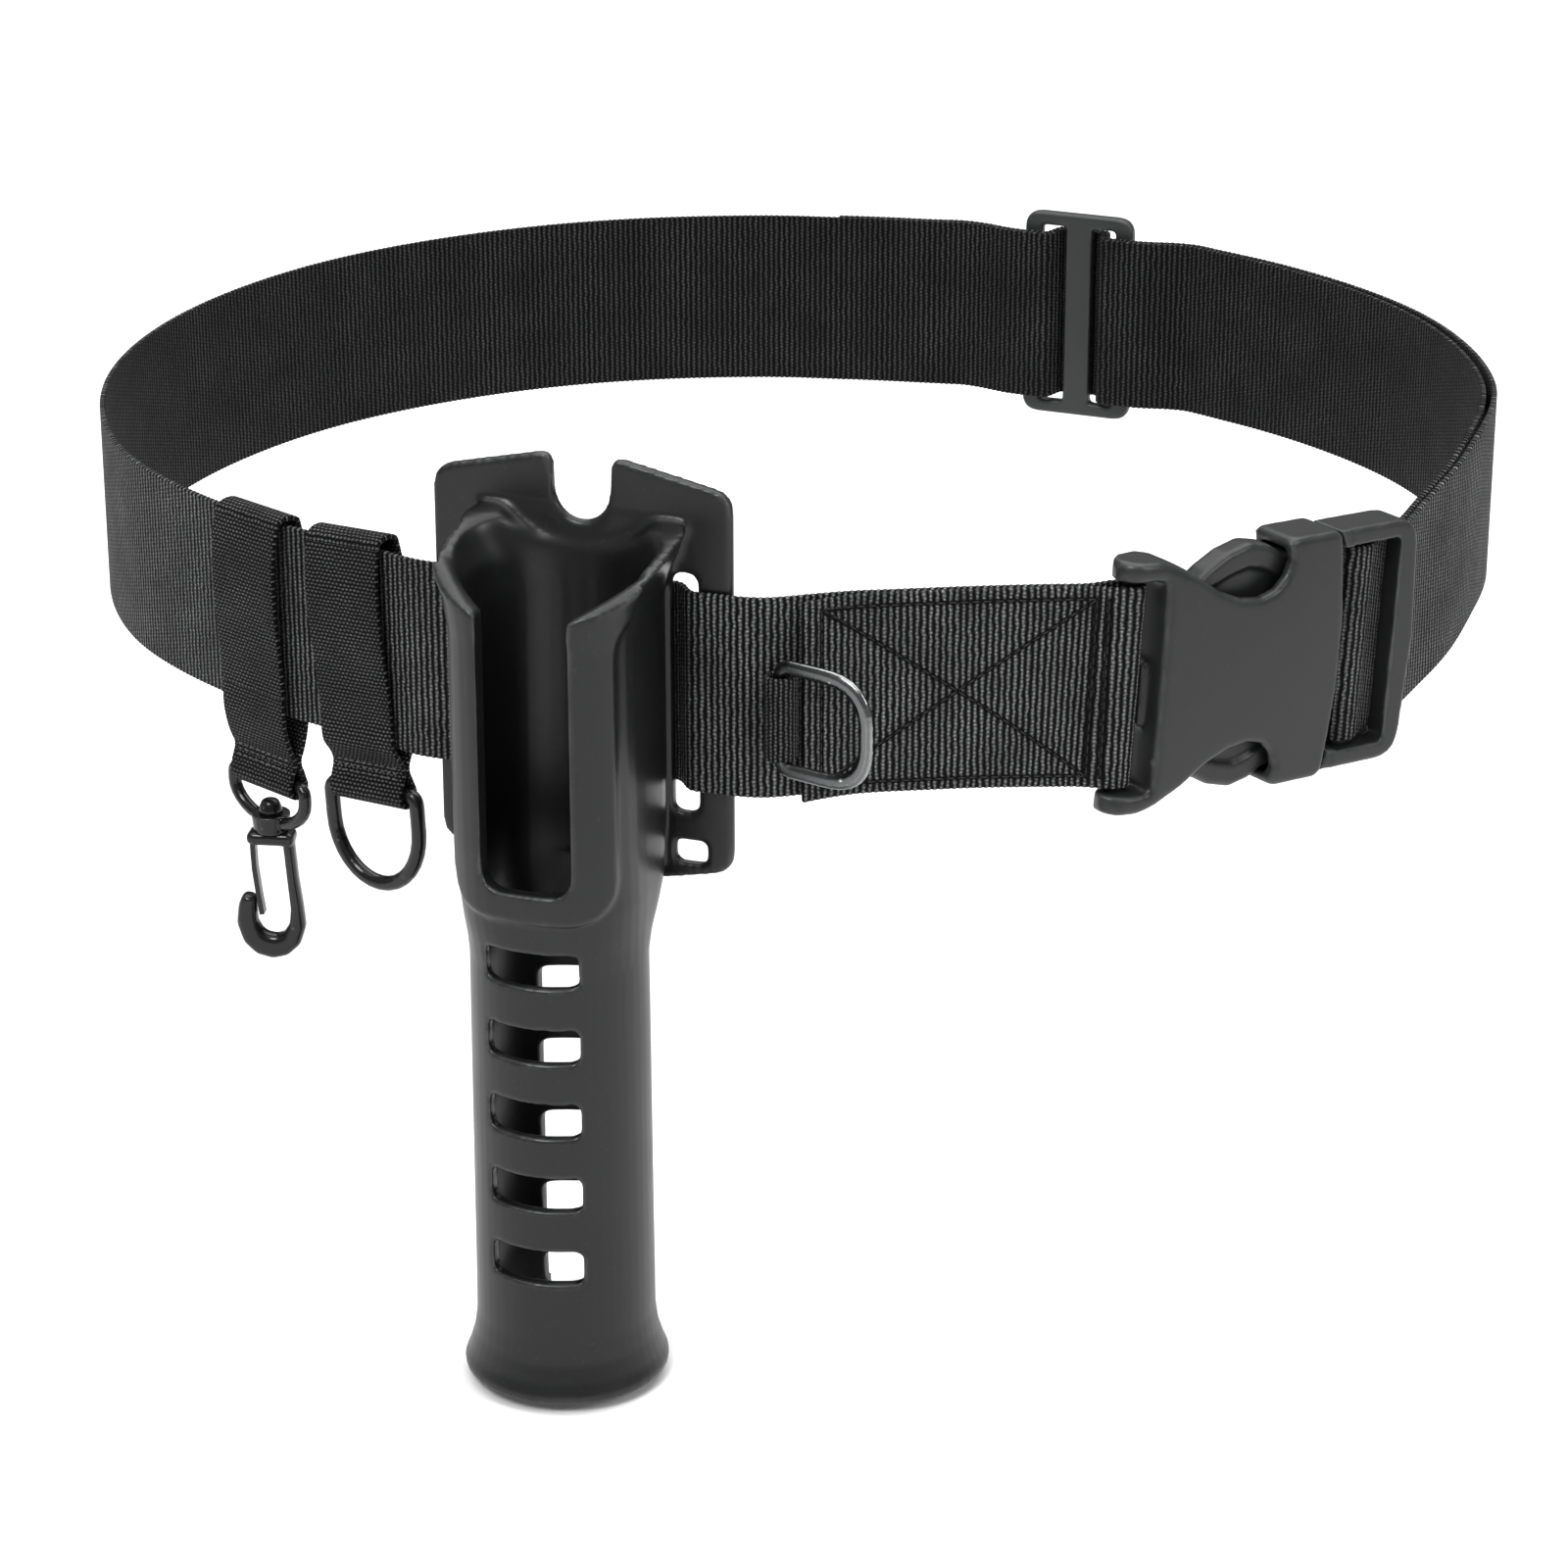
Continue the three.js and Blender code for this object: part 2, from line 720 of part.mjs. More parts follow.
function waistStrapRoute() {
  const lead = 10;
  const runEnd = loopLength - endReach;
  const foldedEnd = layer(lead, foldAt, () => layerOff).reverse();
  const housingWrap = roundBar(0, 0, -120, 60);
  const inner = layer(lead, runEnd, innerOff);
  // Both layers pass on the inner side of the frame's end bar
  const passX = buckleLength - barInset - frameEndWidth;
  const passOut = onBuckle(passX, frameEndIn + gap + strapThick / 2);
  const passIn = onBuckle(passX, frameEndIn + 2 * gap + 1.5 * strapThick + 0.1);
  const frameWrap = roundBar(barSpacing, frameBarHalf - barRadius + 0.3, 90, 330);
  const tail = layer(tailAt, runEnd, tailOff).reverse();
  return [...foldedEnd, ...housingWrap, ...inner, passIn, ...frameWrap, passOut, ...tail];
}
// Inner face of the frame's end bar
const frameEndIn = 0.4;

function waistStrap() {
  const route = waistStrapRoute();
  const across = acrossRoute(route.map(({ point }) => point));
  const sections = route.map(({ point, z, lean }, i) => {
    const middle = new THREE.Vector3(point.x, point.y, z);
    const edge = up.clone().multiplyScalar(Math.cos(lean)).addScaledVector(buckleRun, Math.sin(lean));
    edge.multiplyScalar(strapWidth / 2);
    const thick = new THREE.Vector3(across[i].x, across[i].y, 0).multiplyScalar(strapThick / 2);
    return [
      middle.clone().add(thick).add(edge),
      middle.clone().sub(thick).add(edge),
      middle.clone().sub(thick).sub(edge),
      middle.clone().add(thick).sub(edge),
    ];
  });
  return loft(sections);
}

// Rod holder

function cupSection(row, inset, round) {
  const sides = 40;
  return Array.from({ length: sides }, (_, k) => {
    const angle = (k / sides) * 2 * Math.PI;
    const c = Math.cos(angle);
    const s = Math.sin(angle);
    const power = s < 0 ? (round.front ?? row.frontRound) : (round.back ?? row.backRound);
    const reach = tubeRadius * (s < 0 ? row.front : row.back) - inset;
    const half = tubeRadius * row.half - inset;
    return new THREE.Vector3(
      half * Math.sign(c) * Math.abs(c) ** (2 / power),
      -axisOut + reach * Math.sign(s) * Math.abs(s) ** (2 / power),
      cupFoot + row.height * (cupTop - cupFoot),
    );
  });
}

const cupBody = (inset, round = {}) => toSolid(loft(cupRows.map((row) => cupSection(row, inset, round))));

const plateBack = strapThick / 2 + gap;
const plateFront = plateBack + plateThick;
const wellFront = axisOut + 2 * tubeRadius;

// Above the rim from the plate to the window the cup is cut away
function rimCut() {
  const cupFront = axisOut + tubeRadius;
  const corners = rimRows.map(({ out, height }) => ({
    x: -(plateFront + out * (cupFront - plateFront)),
    y: height * plateTop,
  }));
  const geometry = new THREE.ExtrudeGeometry(roundedShape(corners), {
    depth: 2 * plateWidth,
    bevelEnabled: false,
  });
  geometry.rotateX(Math.PI / 2);
  geometry.rotateZ(Math.PI / 2);
  geometry.translate(-plateWidth, 0, 0);
  return toSolid(geometry);
}

function holderPlate() {
  const outline = (side) =>
    plateRows.map(({ across, height, round }) => ({
      x: (side * across * plateWidth) / 2,
      y: height * plateTop,
      r: round * plateCorner,
    }));
  const shape = roundedShape([...outline(1), ...outline(-1).reverse()]);
  const slotLow = -strapWidth / 2 - wingSlotDrop;
  const slotHigh = strapWidth / 2 + wingSlotRise;
  const smallLow = plateFoot + 1.2;
  for (const middle of [(slotInner + slotOuter) / 2, -(slotInner + slotOuter) / 2]) {
    const half = wingSlotWidth / 2;
    const small = smallSlotWidth / 2;
    const smallMiddle = middle * 1.05;
    shape.holes.push(roundedBox(middle - half, middle + half, slotLow, slotHigh, wingSlotWidth * 0.4));
    shape.holes.push(
      roundedBox(smallMiddle - small, smallMiddle + small, smallLow, smallLow + smallSlotHeight, 1.6),
    );
  }
  return toSolid(slab(shape, -plateFront, -plateBack));
}

// The raised surround of the window, which flares out to the cup's corners
function windowSurround() {
  const wide = 1.5 * surroundHalf;
  const shape = roundedShape([
    { x: -surroundHalf, y: surroundFoot, r: surroundHalf / 2 },
    { x: surroundHalf, y: surroundFoot, r: surroundHalf / 2 },
    { x: surroundHalf, y: surroundFlare, r: surroundHalf / 5 },
    { x: wide, y: surroundFlare + 15 },
    { x: wide, y: plateTop + 10 },
    { x: -wide, y: plateTop + 10 },
    { x: -wide, y: surroundFlare + 15 },
    { x: -surroundHalf, y: surroundFlare, r: surroundHalf / 5 },
  ]);
  return toSolid(slab(shape, -wellFront, -axisOut - tubeRadius * 0.42)).intersect(cupBody(-surroundProud));
}

function holderFootRing() {
  const profile = footRows.map(
    ({ radius, height }) => new THREE.Vector2(radius * flareRadius, holderFoot + height * footHeight),
  );
  const geometry = new THREE.LatheGeometry(profile, 48);
  geometry.rotateX(Math.PI / 2);
  geometry.translate(0, -axisOut, 0);
  return toSolid(geometry);
}

// Openings through the front and the back of the tube
function tubeSlots() {
  const slots = [];
  for (let i = 0; i < slotCount; i += 1) {
    const front = firstSlot - i * slotPitch;
    const back = front - backSlotDrop;
    const half = slotHeight / 2;
    const slotAt = (z) => roundedBox(-slotHalfWidth, slotHalfWidth, z - half, z + half, slotCorner);
    slots.push(toSolid(slab(slotAt(front), -wellFront, -axisOut)));
    slots.push(toSolid(slab(slotAt(back), -axisOut, tubeRadius)));
  }
  return slots;
}

function rodHolder() {
  const shell = cut(joined(cupBody(0), windowSurround()), rimCut());
  const tube = toSolid(upright(tubeRadius, tubeFootRadius, holderFoot + 16, cupFoot + 1, 48, 0, -axisOut));
  const boreRadius = tubeRadius - holderWall;
  const bore = toSolid(upright(boreRadius, boreRadius, holderFoot - 10, cupFoot + 18, 48, 0, -axisOut));
  const inside = cupBody(holderWall, insideRound);
  const opening = roundedBox(-windowHalf, windowHalf, windowFoot, plateTop + 30, windowHalf / 2);
  const window = toSolid(slab(opening, -wellFront, -axisOut - tubeRadius * 0.42));
  const hollow = cut(joined(shell, tube, holderFootRing()), inside, bore, window, ...tubeSlots());
  return toGeometry(hollow.add(holderPlate()));
}

// Buckle, in a frame that starts at the housing's bar

const buckleX = (along) => along * buckleLength - barInset;
const strapRoomHalf = strapWidth / 2 + 1.3;

// The housing's plan, standing taller than the housing
function housingPlan() {
  const corners = housingPlanRows.map(
    ({ along, out }) => new THREE.Vector2(buckleX(along), -out * buckleHalfThick),
  );
  const geometry = new THREE.ExtrudeGeometry(new THREE.Shape(corners), {
    depth: 3 * buckleHalfHeight,
    bevelEnabled: false,
  });
  geometry.translate(0, 0, -1.5 * buckleHalfHeight);
  return toSolid(geometry);
}

function buckleHousing() {
  const upper = housingRows.map(
    ({ along, half }) => new THREE.Vector2(buckleX(along), half * buckleHalfHeight),
  );
  const lower = upper.map(({ x, y }) => new THREE.Vector2(x, -y)).reverse();
  const block = toSolid(
    slab(new THREE.Shape([...upper, ...lower]), -buckleHalfThick, buckleHalfThick, housingBevel),
  );
  const body = block.intersect(housingPlan());
  const cavityShape = roundedBox(buckleX(cavityStart), buckleX(1), -cavityHalfHeight, cavityHalfHeight, 2);
  const cavityHalf = buckleHalfThick - housingWall;
  const cavity = toSolid(slab(cavityShape, -cavityHalf, cavityHalf));
  const roomReach = barRadius + strapThick + 2.5;
  const roomShape = roundedBox(-3 * roomReach, roomReach, -strapRoomHalf, strapRoomHalf, 0.8);
  const room = toSolid(slab(roomShape, -3 * roomReach, 3 * roomReach));
  const bar = toSolid(upright(barRadius, barRadius, -strapRoomHalf - 1.5, strapRoomHalf + 1.5, 14));
  const lugNear = wrapRadius + strapThick / 2 + gap;
  const lugShape = roundedBox(lugNear, roomReach + 2, lugLift - lugHeight / 2, lugLift + lugHeight / 2, 0.6);
  const lug = toSolid(slab(lugShape, -barRadius, barRadius));
  return toGeometry(joined(cut(body, cavity, room), bar, lug));
}

// One prong, with its edges rounded off to both faces
function prong(side) {
  const half = buckleHalfThick - housingWall - 3 * gap;
  const route = prongRows.map(
    ({ along, half: share }) => new THREE.Vector2(buckleX(along), side * share * buckleHalfHeight),
  );
  const across = acrossRoute(route);
  const rim = [
    { share: 1, y: -half + 1 },
    { share: 1, y: half - 1 },
    { share: 0.7, y: half },
    { share: -0.7, y: half },
    { share: -1, y: half - 1 },
    { share: -1, y: -half + 1 },
    { share: -0.7, y: -half },
    { share: 0.7, y: -half },
  ];
  const sections = route.map((point, i) => {
    const off = across[i].clone().multiplyScalar((prongRows[i].wide * prongWidth) / 2);
    return rim.map(({ share, y }) => new THREE.Vector3(point.x + off.x * share, y, point.y + off.y * share));
  });
  return toSolid(loft(sections));
}

function buckleFrame() {
  const right = buckleX(1);
  const mouth = buckleX(mouthStart);
  const outline = roundedShape([
    { x: mouth, y: -frameHalfHeight },
    { x: right - 2, y: -frameHalfHeight, r: frameCorner },
    { x: right, y: 0 },
    { x: right - 2, y: frameHalfHeight, r: frameCorner },
    { x: mouth, y: frameHalfHeight },
  ]);
  const body = toSolid(slab(outline, -frameHalfThick, frameHalfThick, 1));
  const rootHalf = cavityHalfHeight - 1.6;
  const rootShape = roundedBox(buckleX(rootStart), mouth + 2, -rootHalf, rootHalf, 1);
  const root = toSolid(slab(rootShape, -prongRootHalf, prongRootHalf));
  const openEnd = right - frameEndWidth;
  const openingShape = roundedBox(buckleX(openingStart), openEnd, -strapRoomHalf, strapRoomHalf, 1.5);
  const opening = toSolid(slab(openingShape, -2 * frameHalfThick, 2 * frameHalfThick));
  // The strap passes on the inner side of the end bar
  const tunnelShape = roundedBox(openEnd - 8, right + 10, -strapRoomHalf, strapRoomHalf, 1);
  const tunnel = toSolid(slab(tunnelShape, frameEndIn, 2 * frameHalfThick));
  const bar = upright(barRadius, barRadius, -strapRoomHalf - 2, strapRoomHalf + 2, 14);
  bar.scale(frameBarHalf / barRadius, 1, 1);
  bar.translate(barSpacing, 0, 0);
  const frame = cut(joined(body, root), opening, tunnel);
  return toGeometry(joined(frame, toSolid(bar), prong(1), prong(-1)));
}

// Slider

function slider() {
  const half = sliderWidth / 2;
  const shape = roundedBox(-half, half, -sliderHeight / 2, sliderHeight / 2, sliderCorner);
  const slotEnd = strapWidth / 2 + 1.6;
  for (const middle of [sliderSlotMiddle, -sliderSlotMiddle]) {
    const near = middle - sliderSlot / 2;
    shape.holes.push(roundedBox(near, near + sliderSlot, -slotEnd, slotEnd, 1.2));
  }
  return slab(shape, -sliderThick / 2, sliderThick / 2, 0.7);
}

// Hangers

// The hanger's section seen along the strap: how far its middle layer stands out and its height,
// from the top over the strap down to the fold round the bar at barHeight
function hangerRoute(barHeight, barHalf) {
  const fold = barHalf + gap + hangerThick / 2;
  const close = (hangerThick + gap) / 2;
  const top = strapWidth / 2 + gap + hangerThick / 2;
  const front = [
    { out: hangerHalfDepth - 1, z: top },
    { out: hangerHalfDepth - 0.3, z: top - 0.5 },
    { out: hangerHalfDepth, z: top - 1.6 },
    { out: hangerHalfDepth, z: -strapWidth / 2 + 6 },
    { out: hangerHalfDepth - 0.1, z: -strapWidth / 2 - 1.6 },
    { out: close + 0.8, z: barHeight + 9.2 },
    { out: close, z: barHeight + 7.4 },
    { out: close, z: barHeight + 5.4 },
    { out: close + 0.7, z: barHeight + 3.6 },
    { out: fold - 0.5, z: barHeight + 1.8 },
  ];
  const steps = 8;
  const turn = Array.from({ length: steps + 1 }, (_, i) => {
    const angle = (-i / steps) * Math.PI;
    return { out: fold * Math.cos(angle), z: barHeight + fold * Math.sin(angle) };
  });
  const back = front.map(({ out, z }) => ({ out: -out, z })).reverse();
  return [...front, ...turn, ...back].map(({ out, z }) => new THREE.Vector2(-out, z));
}

function hanger(barHeight, barHalf) {
  const place = ({ x, y }, end) => new THREE.Vector3((end * hangerWidth) / 2, x, y);
  return loft(bandSections(hangerRoute(barHeight, barHalf), hangerThick, true, place), true);
}

// A D with its straight bar on top at height 0, drawn round its wire's middle line
function dRoute(halfWidth, sideDrop, drop, corner) {
  const route = [];
  const addArc = (x, z, rx, rz, from, to, steps) => {
    for (let i = 0; i <= steps; i += 1) {
      const angle = THREE.MathUtils.degToRad(from + ((to - from) * i) / steps);
      route.push(new THREE.Vector2(x + rx * Math.cos(angle), z + rz * Math.sin(angle)));
    }
  };
  addArc(halfWidth - corner, -corner, corner, corner, 90, 0, 3);
  addArc(0, -sideDrop, halfWidth, drop - sideDrop, 0, -180, 16);
  addArc(-halfWidth + corner, -corner, corner, corner, 180, 90, 3);
  return route;
}

// Room between a hanger's edge and the wire beside it
const wireRoom = 0.4;

function hangingRing() {
  const half = (hangerWidth + ringWire) / 2 + wireRoom;
  return wireLoop(dRoute(half, ringDrop * 0.36, ringDrop, 2), ringWire, ringWire, 10);
}

// Eye of the hook, with the collar that its stem turns in
function hookEye() {
  const half = (hangerWidth + eyeWire) / 2 + wireRoom;
  const loop = toSolid(wireLoop(dRoute(half, eyeDrop * 0.32, eyeDrop, 2), eyeWire, eyeWire, 10));
  const collarFoot = collarTop - collarHeight;
  const collar = toSolid(upright(collarRadius, collarRadius - 0.6, collarFoot, collarTop, 20));
  const holeRadius = stemRadius + gap;
  const hole = toSolid(upright(holeRadius, holeRadius, collarFoot - 5, collarTop + 5, 16));
  return toGeometry(cut(joined(loop, collar), hole));
}

const hookTop = collarTop - collarHeight - gap;

// The hook, with the stem in the eye's collar and the knob that holds it there
function snapHook() {
  const route = hookRows.map(
    ({ across, down }) => new THREE.Vector2(across * hookHalfWidth, hookTop - down * hookLength),
  );
  const across = acrossRoute(route);
  const sides = 10;
  const squared = (value) => Math.sign(value) * Math.abs(value) ** 0.6;
  const sections = route.map((point, i) => {
    const off = across[i].clone().multiplyScalar((hookRows[i].wire * hookWire) / 2);
    return Array.from({ length: sides }, (_, k) => {
      const angle = ((k + 0.5) / sides) * 2 * Math.PI;
      const share = squared(Math.cos(angle));
      const y = hookHalfThick * squared(Math.sin(angle));
      return new THREE.Vector3(point.x + off.x * share, y, point.y + off.y * share);
    });
  });
  const headShape = roundedBox(-headHalfWidth, headHalfWidth, hookTop - headHeight, hookTop, 1.2);
  const head = toSolid(slab(headShape, -headHalfThick, headHalfThick, 0.6));
  const knobFoot = collarTop + gap;
  const stem = toSolid(upright(stemRadius, stemRadius, hookTop - 1, knobFoot + 1, 14));
  const knob = toSolid(upright(knobRadius - 1, knobRadius, knobFoot, knobFoot + knobHeight, 14));
  return toGeometry(joined(toSolid(loft(sections)), head, stem, knob));
}

// The gate hangs from the head's left corner and closes on the inside of the tip
const gateRoot = new THREE.Vector2(-0.84 * headHalfWidth, hookTop - headHeight - gap);

function hookGate() {
  const tip = hookRows[hookRows.length - 1];
  const tipInside = tip.across * hookHalfWidth + (tip.wire * hookWire) / 2;
  const foot = new THREE.Vector2(tipInside + gap + gateThick, hookTop - 0.68 * hookLength);
  const route = gateRows.map(({ along, bow }) => {
    const point = gateRoot.clone().lerp(foot, along);
    point.x -= bow * gateThick;
    return point;
  });
  const place = ({ x, y }, end) => new THREE.Vector3(x, end * gateHalf, y);
  return loft(bandSections(route, gateThick, false, place));
}

// Metal D-ring at the front: its straight bar stands upright at x = 0, and its bow points right
function sideRing() {
  const half = (sideRingHeight - sideRingWire) / 2;
  const route = dRoute(half, sideRingReach * 0.42, sideRingReach - sideRingWire, 3);
  const geometry = wireLoop(route, sideRingWire, sideRingThick, 8);
  geometry.rotateY(-Math.PI / 2);
  return geometry;
}

// The tab seen from above: from the folded end along the strap, round the ring's bar and back
const tabReach = sideRingWire / 2 + gap + tabThick;
const tabDepth = tabReach * 0.87;
const sideRingOut = strapThick / 2 + gap + tabThick / 2 + tabDepth;

function sideRingTab() {
  const right = foldPast - sideRingPast - gap;
  const route = [new THREE.Vector2(right - 0.4, -tabDepth / 3)];
  const steps = 10;
  for (let i = 0; i <= steps; i += 1) {
    const angle = THREE.MathUtils.degToRad(45 + (i / steps) * 225);
    route.push(new THREE.Vector2(tabReach * Math.cos(angle), tabDepth * Math.sin(angle)));
  }
  route.push(new THREE.Vector2(right, -tabDepth));
  const place = ({ x, y }, end) => new THREE.Vector3(x, -y, (end * tabHeight) / 2);
  return loft(bandSections(route, tabThick, false, place));
}

// Assembly
const belt = new THREE.Group();

function addPiece(name, geometry, material, frame = new THREE.Matrix4()) {
  const mesh = new THREE.Mesh(outward(geometry), material);
  mesh.name = name;
  mesh.applyMatrix4(frame);
  belt.add(mesh);
}

// A frame moved up inside another one, and turned there about its upright axis
function raised(frame, z, turn = 0) {
  const move = new THREE.Matrix4().makeTranslation(0, 0, z);
  return frame.clone().multiply(move).multiply(new THREE.Matrix4().makeRotationZ(turn));
}

// A hanger's frame turned about the middle of the strap's top edge, lifted clear of that edge
function leaned(frame, lean) {
  const top = strapWidth / 2;
  const lift = (hangerWidth / 2) * Math.sin(lean);
  const toTop = new THREE.Matrix4().makeTranslation(0, 0, top + lift);
  const turn = new THREE.Matrix4().makeRotationY(-lean);
  const back = new THREE.Matrix4().makeTranslation(0, 0, -top);
  return frame.clone().multiply(toTop).multiply(turn).multiply(back);
}

const buckleAxis = buckleRun.clone().multiplyScalar(Math.cos(buckleDroop));
buckleAxis.addScaledVector(up, -Math.sin(buckleDroop));
const buckleAt = frameAt(housingBar.clone().addScaledVector(up, -buckleSink), buckleAxis);
const holderAt = strapFrame(plateMiddle);
const sliderAt = strapFrame(sliderMiddle);
const plateLeft = plateMiddle + plateWidth / 2;
const ringHangerAt = leaned(strapFrame(plateLeft + ringHangerPast), ringHangerLean);
const hookHangerAt = strapFrame(plateLeft + hookHangerPast);
const ringBarAt = raised(ringHangerAt, ringBarHeight);
const eyeBarAt = raised(hookHangerAt, hookBarHeight);
const hookAt = raised(eyeBarAt, 0, hookTurn);
const tabAt = raised(lineFrame(sideRingAt, sideRingOut), sideRingLift);

addPiece("waist_strap", waistStrap(), webbing());
addPiece("rod_holder", rodHolder(), plastic(), holderAt);
addPiece("buckle_female", buckleHousing(), plastic(), buckleAt);
addPiece("buckle_male", buckleFrame(), plastic(), buckleAt);
addPiece("slider", slider(), plastic(), sliderAt);
addPiece("ring_hanger", hanger(ringBarHeight, ringWire / 2), webbing(), ringHangerAt);
addPiece("hook_hanger", hanger(hookBarHeight, eyeWire / 2), webbing(), hookHangerAt);
addPiece("hanging_ring", hangingRing(), plastic(), ringBarAt);
addPiece("hook_eye", hookEye(), plastic(), eyeBarAt);
addPiece("snap_hook", snapHook(), plastic(), hookAt);
addPiece("hook_gate", hookGate(), plastic(), hookAt);
addPiece("side_ring_tab", sideRingTab(), webbing(), tabAt);
addPiece("side_ring", sideRing(), gunmetal(), raised(tabAt, 0, sideRingTurn));

export default belt;
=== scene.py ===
"""Fishing fighting belt: the visual model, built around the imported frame.

Every length is in metres unless its name ends in _mm or its class says otherwise. +Z is up,
-Y is the front, and the origin is the middle of the waist loop.
"""

import json
import logging
import math
from collections.abc import Callable
from dataclasses import dataclass
from enum import Enum
from functools import cache

import bpy
import numpy as np
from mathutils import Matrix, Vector

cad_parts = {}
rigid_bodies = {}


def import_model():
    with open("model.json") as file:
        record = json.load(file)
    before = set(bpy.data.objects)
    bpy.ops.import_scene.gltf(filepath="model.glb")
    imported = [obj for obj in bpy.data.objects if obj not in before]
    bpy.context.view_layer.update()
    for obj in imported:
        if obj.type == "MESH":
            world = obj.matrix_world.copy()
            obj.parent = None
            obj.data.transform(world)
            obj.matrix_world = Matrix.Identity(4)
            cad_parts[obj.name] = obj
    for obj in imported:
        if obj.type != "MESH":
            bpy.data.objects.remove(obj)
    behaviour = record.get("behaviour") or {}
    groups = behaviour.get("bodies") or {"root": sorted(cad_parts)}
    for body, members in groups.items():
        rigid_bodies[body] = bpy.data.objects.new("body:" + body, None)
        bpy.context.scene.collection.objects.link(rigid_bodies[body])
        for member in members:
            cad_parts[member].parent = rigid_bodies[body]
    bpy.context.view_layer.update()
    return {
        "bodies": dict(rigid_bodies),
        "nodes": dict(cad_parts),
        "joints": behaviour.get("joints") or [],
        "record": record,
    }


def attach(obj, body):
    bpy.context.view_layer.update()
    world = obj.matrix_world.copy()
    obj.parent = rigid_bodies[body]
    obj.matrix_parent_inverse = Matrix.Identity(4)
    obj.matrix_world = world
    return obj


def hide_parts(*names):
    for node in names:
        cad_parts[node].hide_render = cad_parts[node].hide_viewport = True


LOG = logging.getLogger("belt")
MM = 0.001
UP = np.array([0.0, 0.0, 1.0])
BODY = "belt"
CLOTH_MAP = "cloth"
SAME_PLACE = 0.001 * MM
Pair = tuple[float, float]
Triple = tuple[float, float, float]


class Slot(Enum):
    """Material slots of the record."""

    WEBBING = "webbing"
    PLASTIC = "plastic"
    METAL = "gunmetal"


# Node trees


class Tree:
    """A node tree with short calls to add nodes and join sockets."""

    def __init__(self, tree: bpy.types.NodeTree) -> None:
        """Keep the tree that the nodes go into."""
        self.tree = tree

    def add(self, kind: str, inputs: dict | None = None, **settings: object) -> bpy.types.Node:
        """Add one node.

        Args:
            kind: the node's type name.
            inputs: socket name or number to a value, or to the socket that feeds it.
            settings: properties set on the node itself.

        Returns:
            The new node.
        """
        node = self.tree.nodes.new(kind)
        for name, value in settings.items():
            setattr(node, name, value)
        self.feed(node, inputs or {})
        return node

    def feed(self, node: bpy.types.Node, inputs: dict) -> None:
        """Give each of a node's inputs its value, or join it to the socket that feeds it."""
        for key, value in inputs.items():
            if isinstance(value, bpy.types.NodeSocket):
                self.tree.links.new(value, node.inputs[key])
            else:
                node.inputs[key].default_value = value

    def math(self, operation: str, first: object, second: object = 0.0) -> bpy.types.NodeSocket:
        """Add a Math node and return its result."""
        return self.add("ShaderNodeMath", {0: first, 1: second}, operation=operation).outputs[0]

    def chain(self, operation: str, first: object, *others: object) -> bpy.types.NodeSocket:
        """Take one value after another through the same Math operation."""
        for other in others:
            first = self.math(operation, first, other)
        return first

    def ramp(
        self, value: object, low: object, high: object, to_low: float = 0.0, to_high: float = 1.0
    ) -> bpy.types.NodeSocket:
        """Map a value from one range to another, held at both ends."""
        inputs = {"Value": value, "From Min": low, "From Max": high}
        inputs |= {"To Min": to_low, "To Max": to_high}
        return self.add("ShaderNodeMapRange", inputs).outputs["Result"]

    def mix(self, share: object, first: object, second: object) -> bpy.types.NodeSocket:
        """Mix two colours by a share."""
        inputs = {0: share, 6: first, 7: second}
        return self.add("ShaderNodeMix", inputs, data_type="RGBA").outputs[2]

    def noise(self, where: object, scale: object, detail: float = 2.0) -> bpy.types.NodeSocket:
        """Add a noise texture and return its value."""
        inputs = {"Vector": where, "Scale": scale, "Detail": detail}
        return self.add("ShaderNodeTexNoise", inputs).outputs["Fac"]

    def vector(self, operation: str, *values: object) -> bpy.types.Node:
        """Add a Vector Math node."""
        return self.add("ShaderNodeVectorMath", dict(enumerate(values)), operation=operation)

    def place(self) -> bpy.types.NodeSocket:
        """Return the object coordinates."""
        return self.add("ShaderNodeTexCoord").outputs["Object"]

    def use(self, group: bpy.types.NodeTree, inputs: dict) -> bpy.types.bpy_prop_collection:
        """Place a node group with its own values and return its outputs."""
        return self.add("ShaderNodeGroup", inputs, node_tree=group).outputs


class EffectGroup:
    """A shader node group in the making, with named inputs and outputs."""

    def __init__(self, name: str, numbers: dict[str, float], gives: list[str], where: str) -> None:
        """Make the group and its sockets.

        Args:
            name: the group's name.
            numbers: each number that the group takes, with its default value.
            gives: names of the outputs, all of them floats.
            where: name of the input that takes coordinates.
        """
        self.group = bpy.data.node_groups.new(name, "ShaderNodeTree")
        make = self.group.interface.new_socket
        make(where, in_out="INPUT", socket_type="NodeSocketVector")
        for label, value in numbers.items():
            make(label, in_out="INPUT", socket_type="NodeSocketFloat").default_value = value
        for label in gives:
            make(label, in_out="OUTPUT", socket_type="NodeSocketFloat")
        self.tree = Tree(self.group)
        self.given = self.tree.add("NodeGroupInput").outputs
        self.out = self.tree.add("NodeGroupOutput")

    def give(self, **values: bpy.types.NodeSocket) -> bpy.types.NodeTree:
        """Join the results to the outputs of the same names and return the group."""
        self.tree.feed(self.out, values)
        return self.group


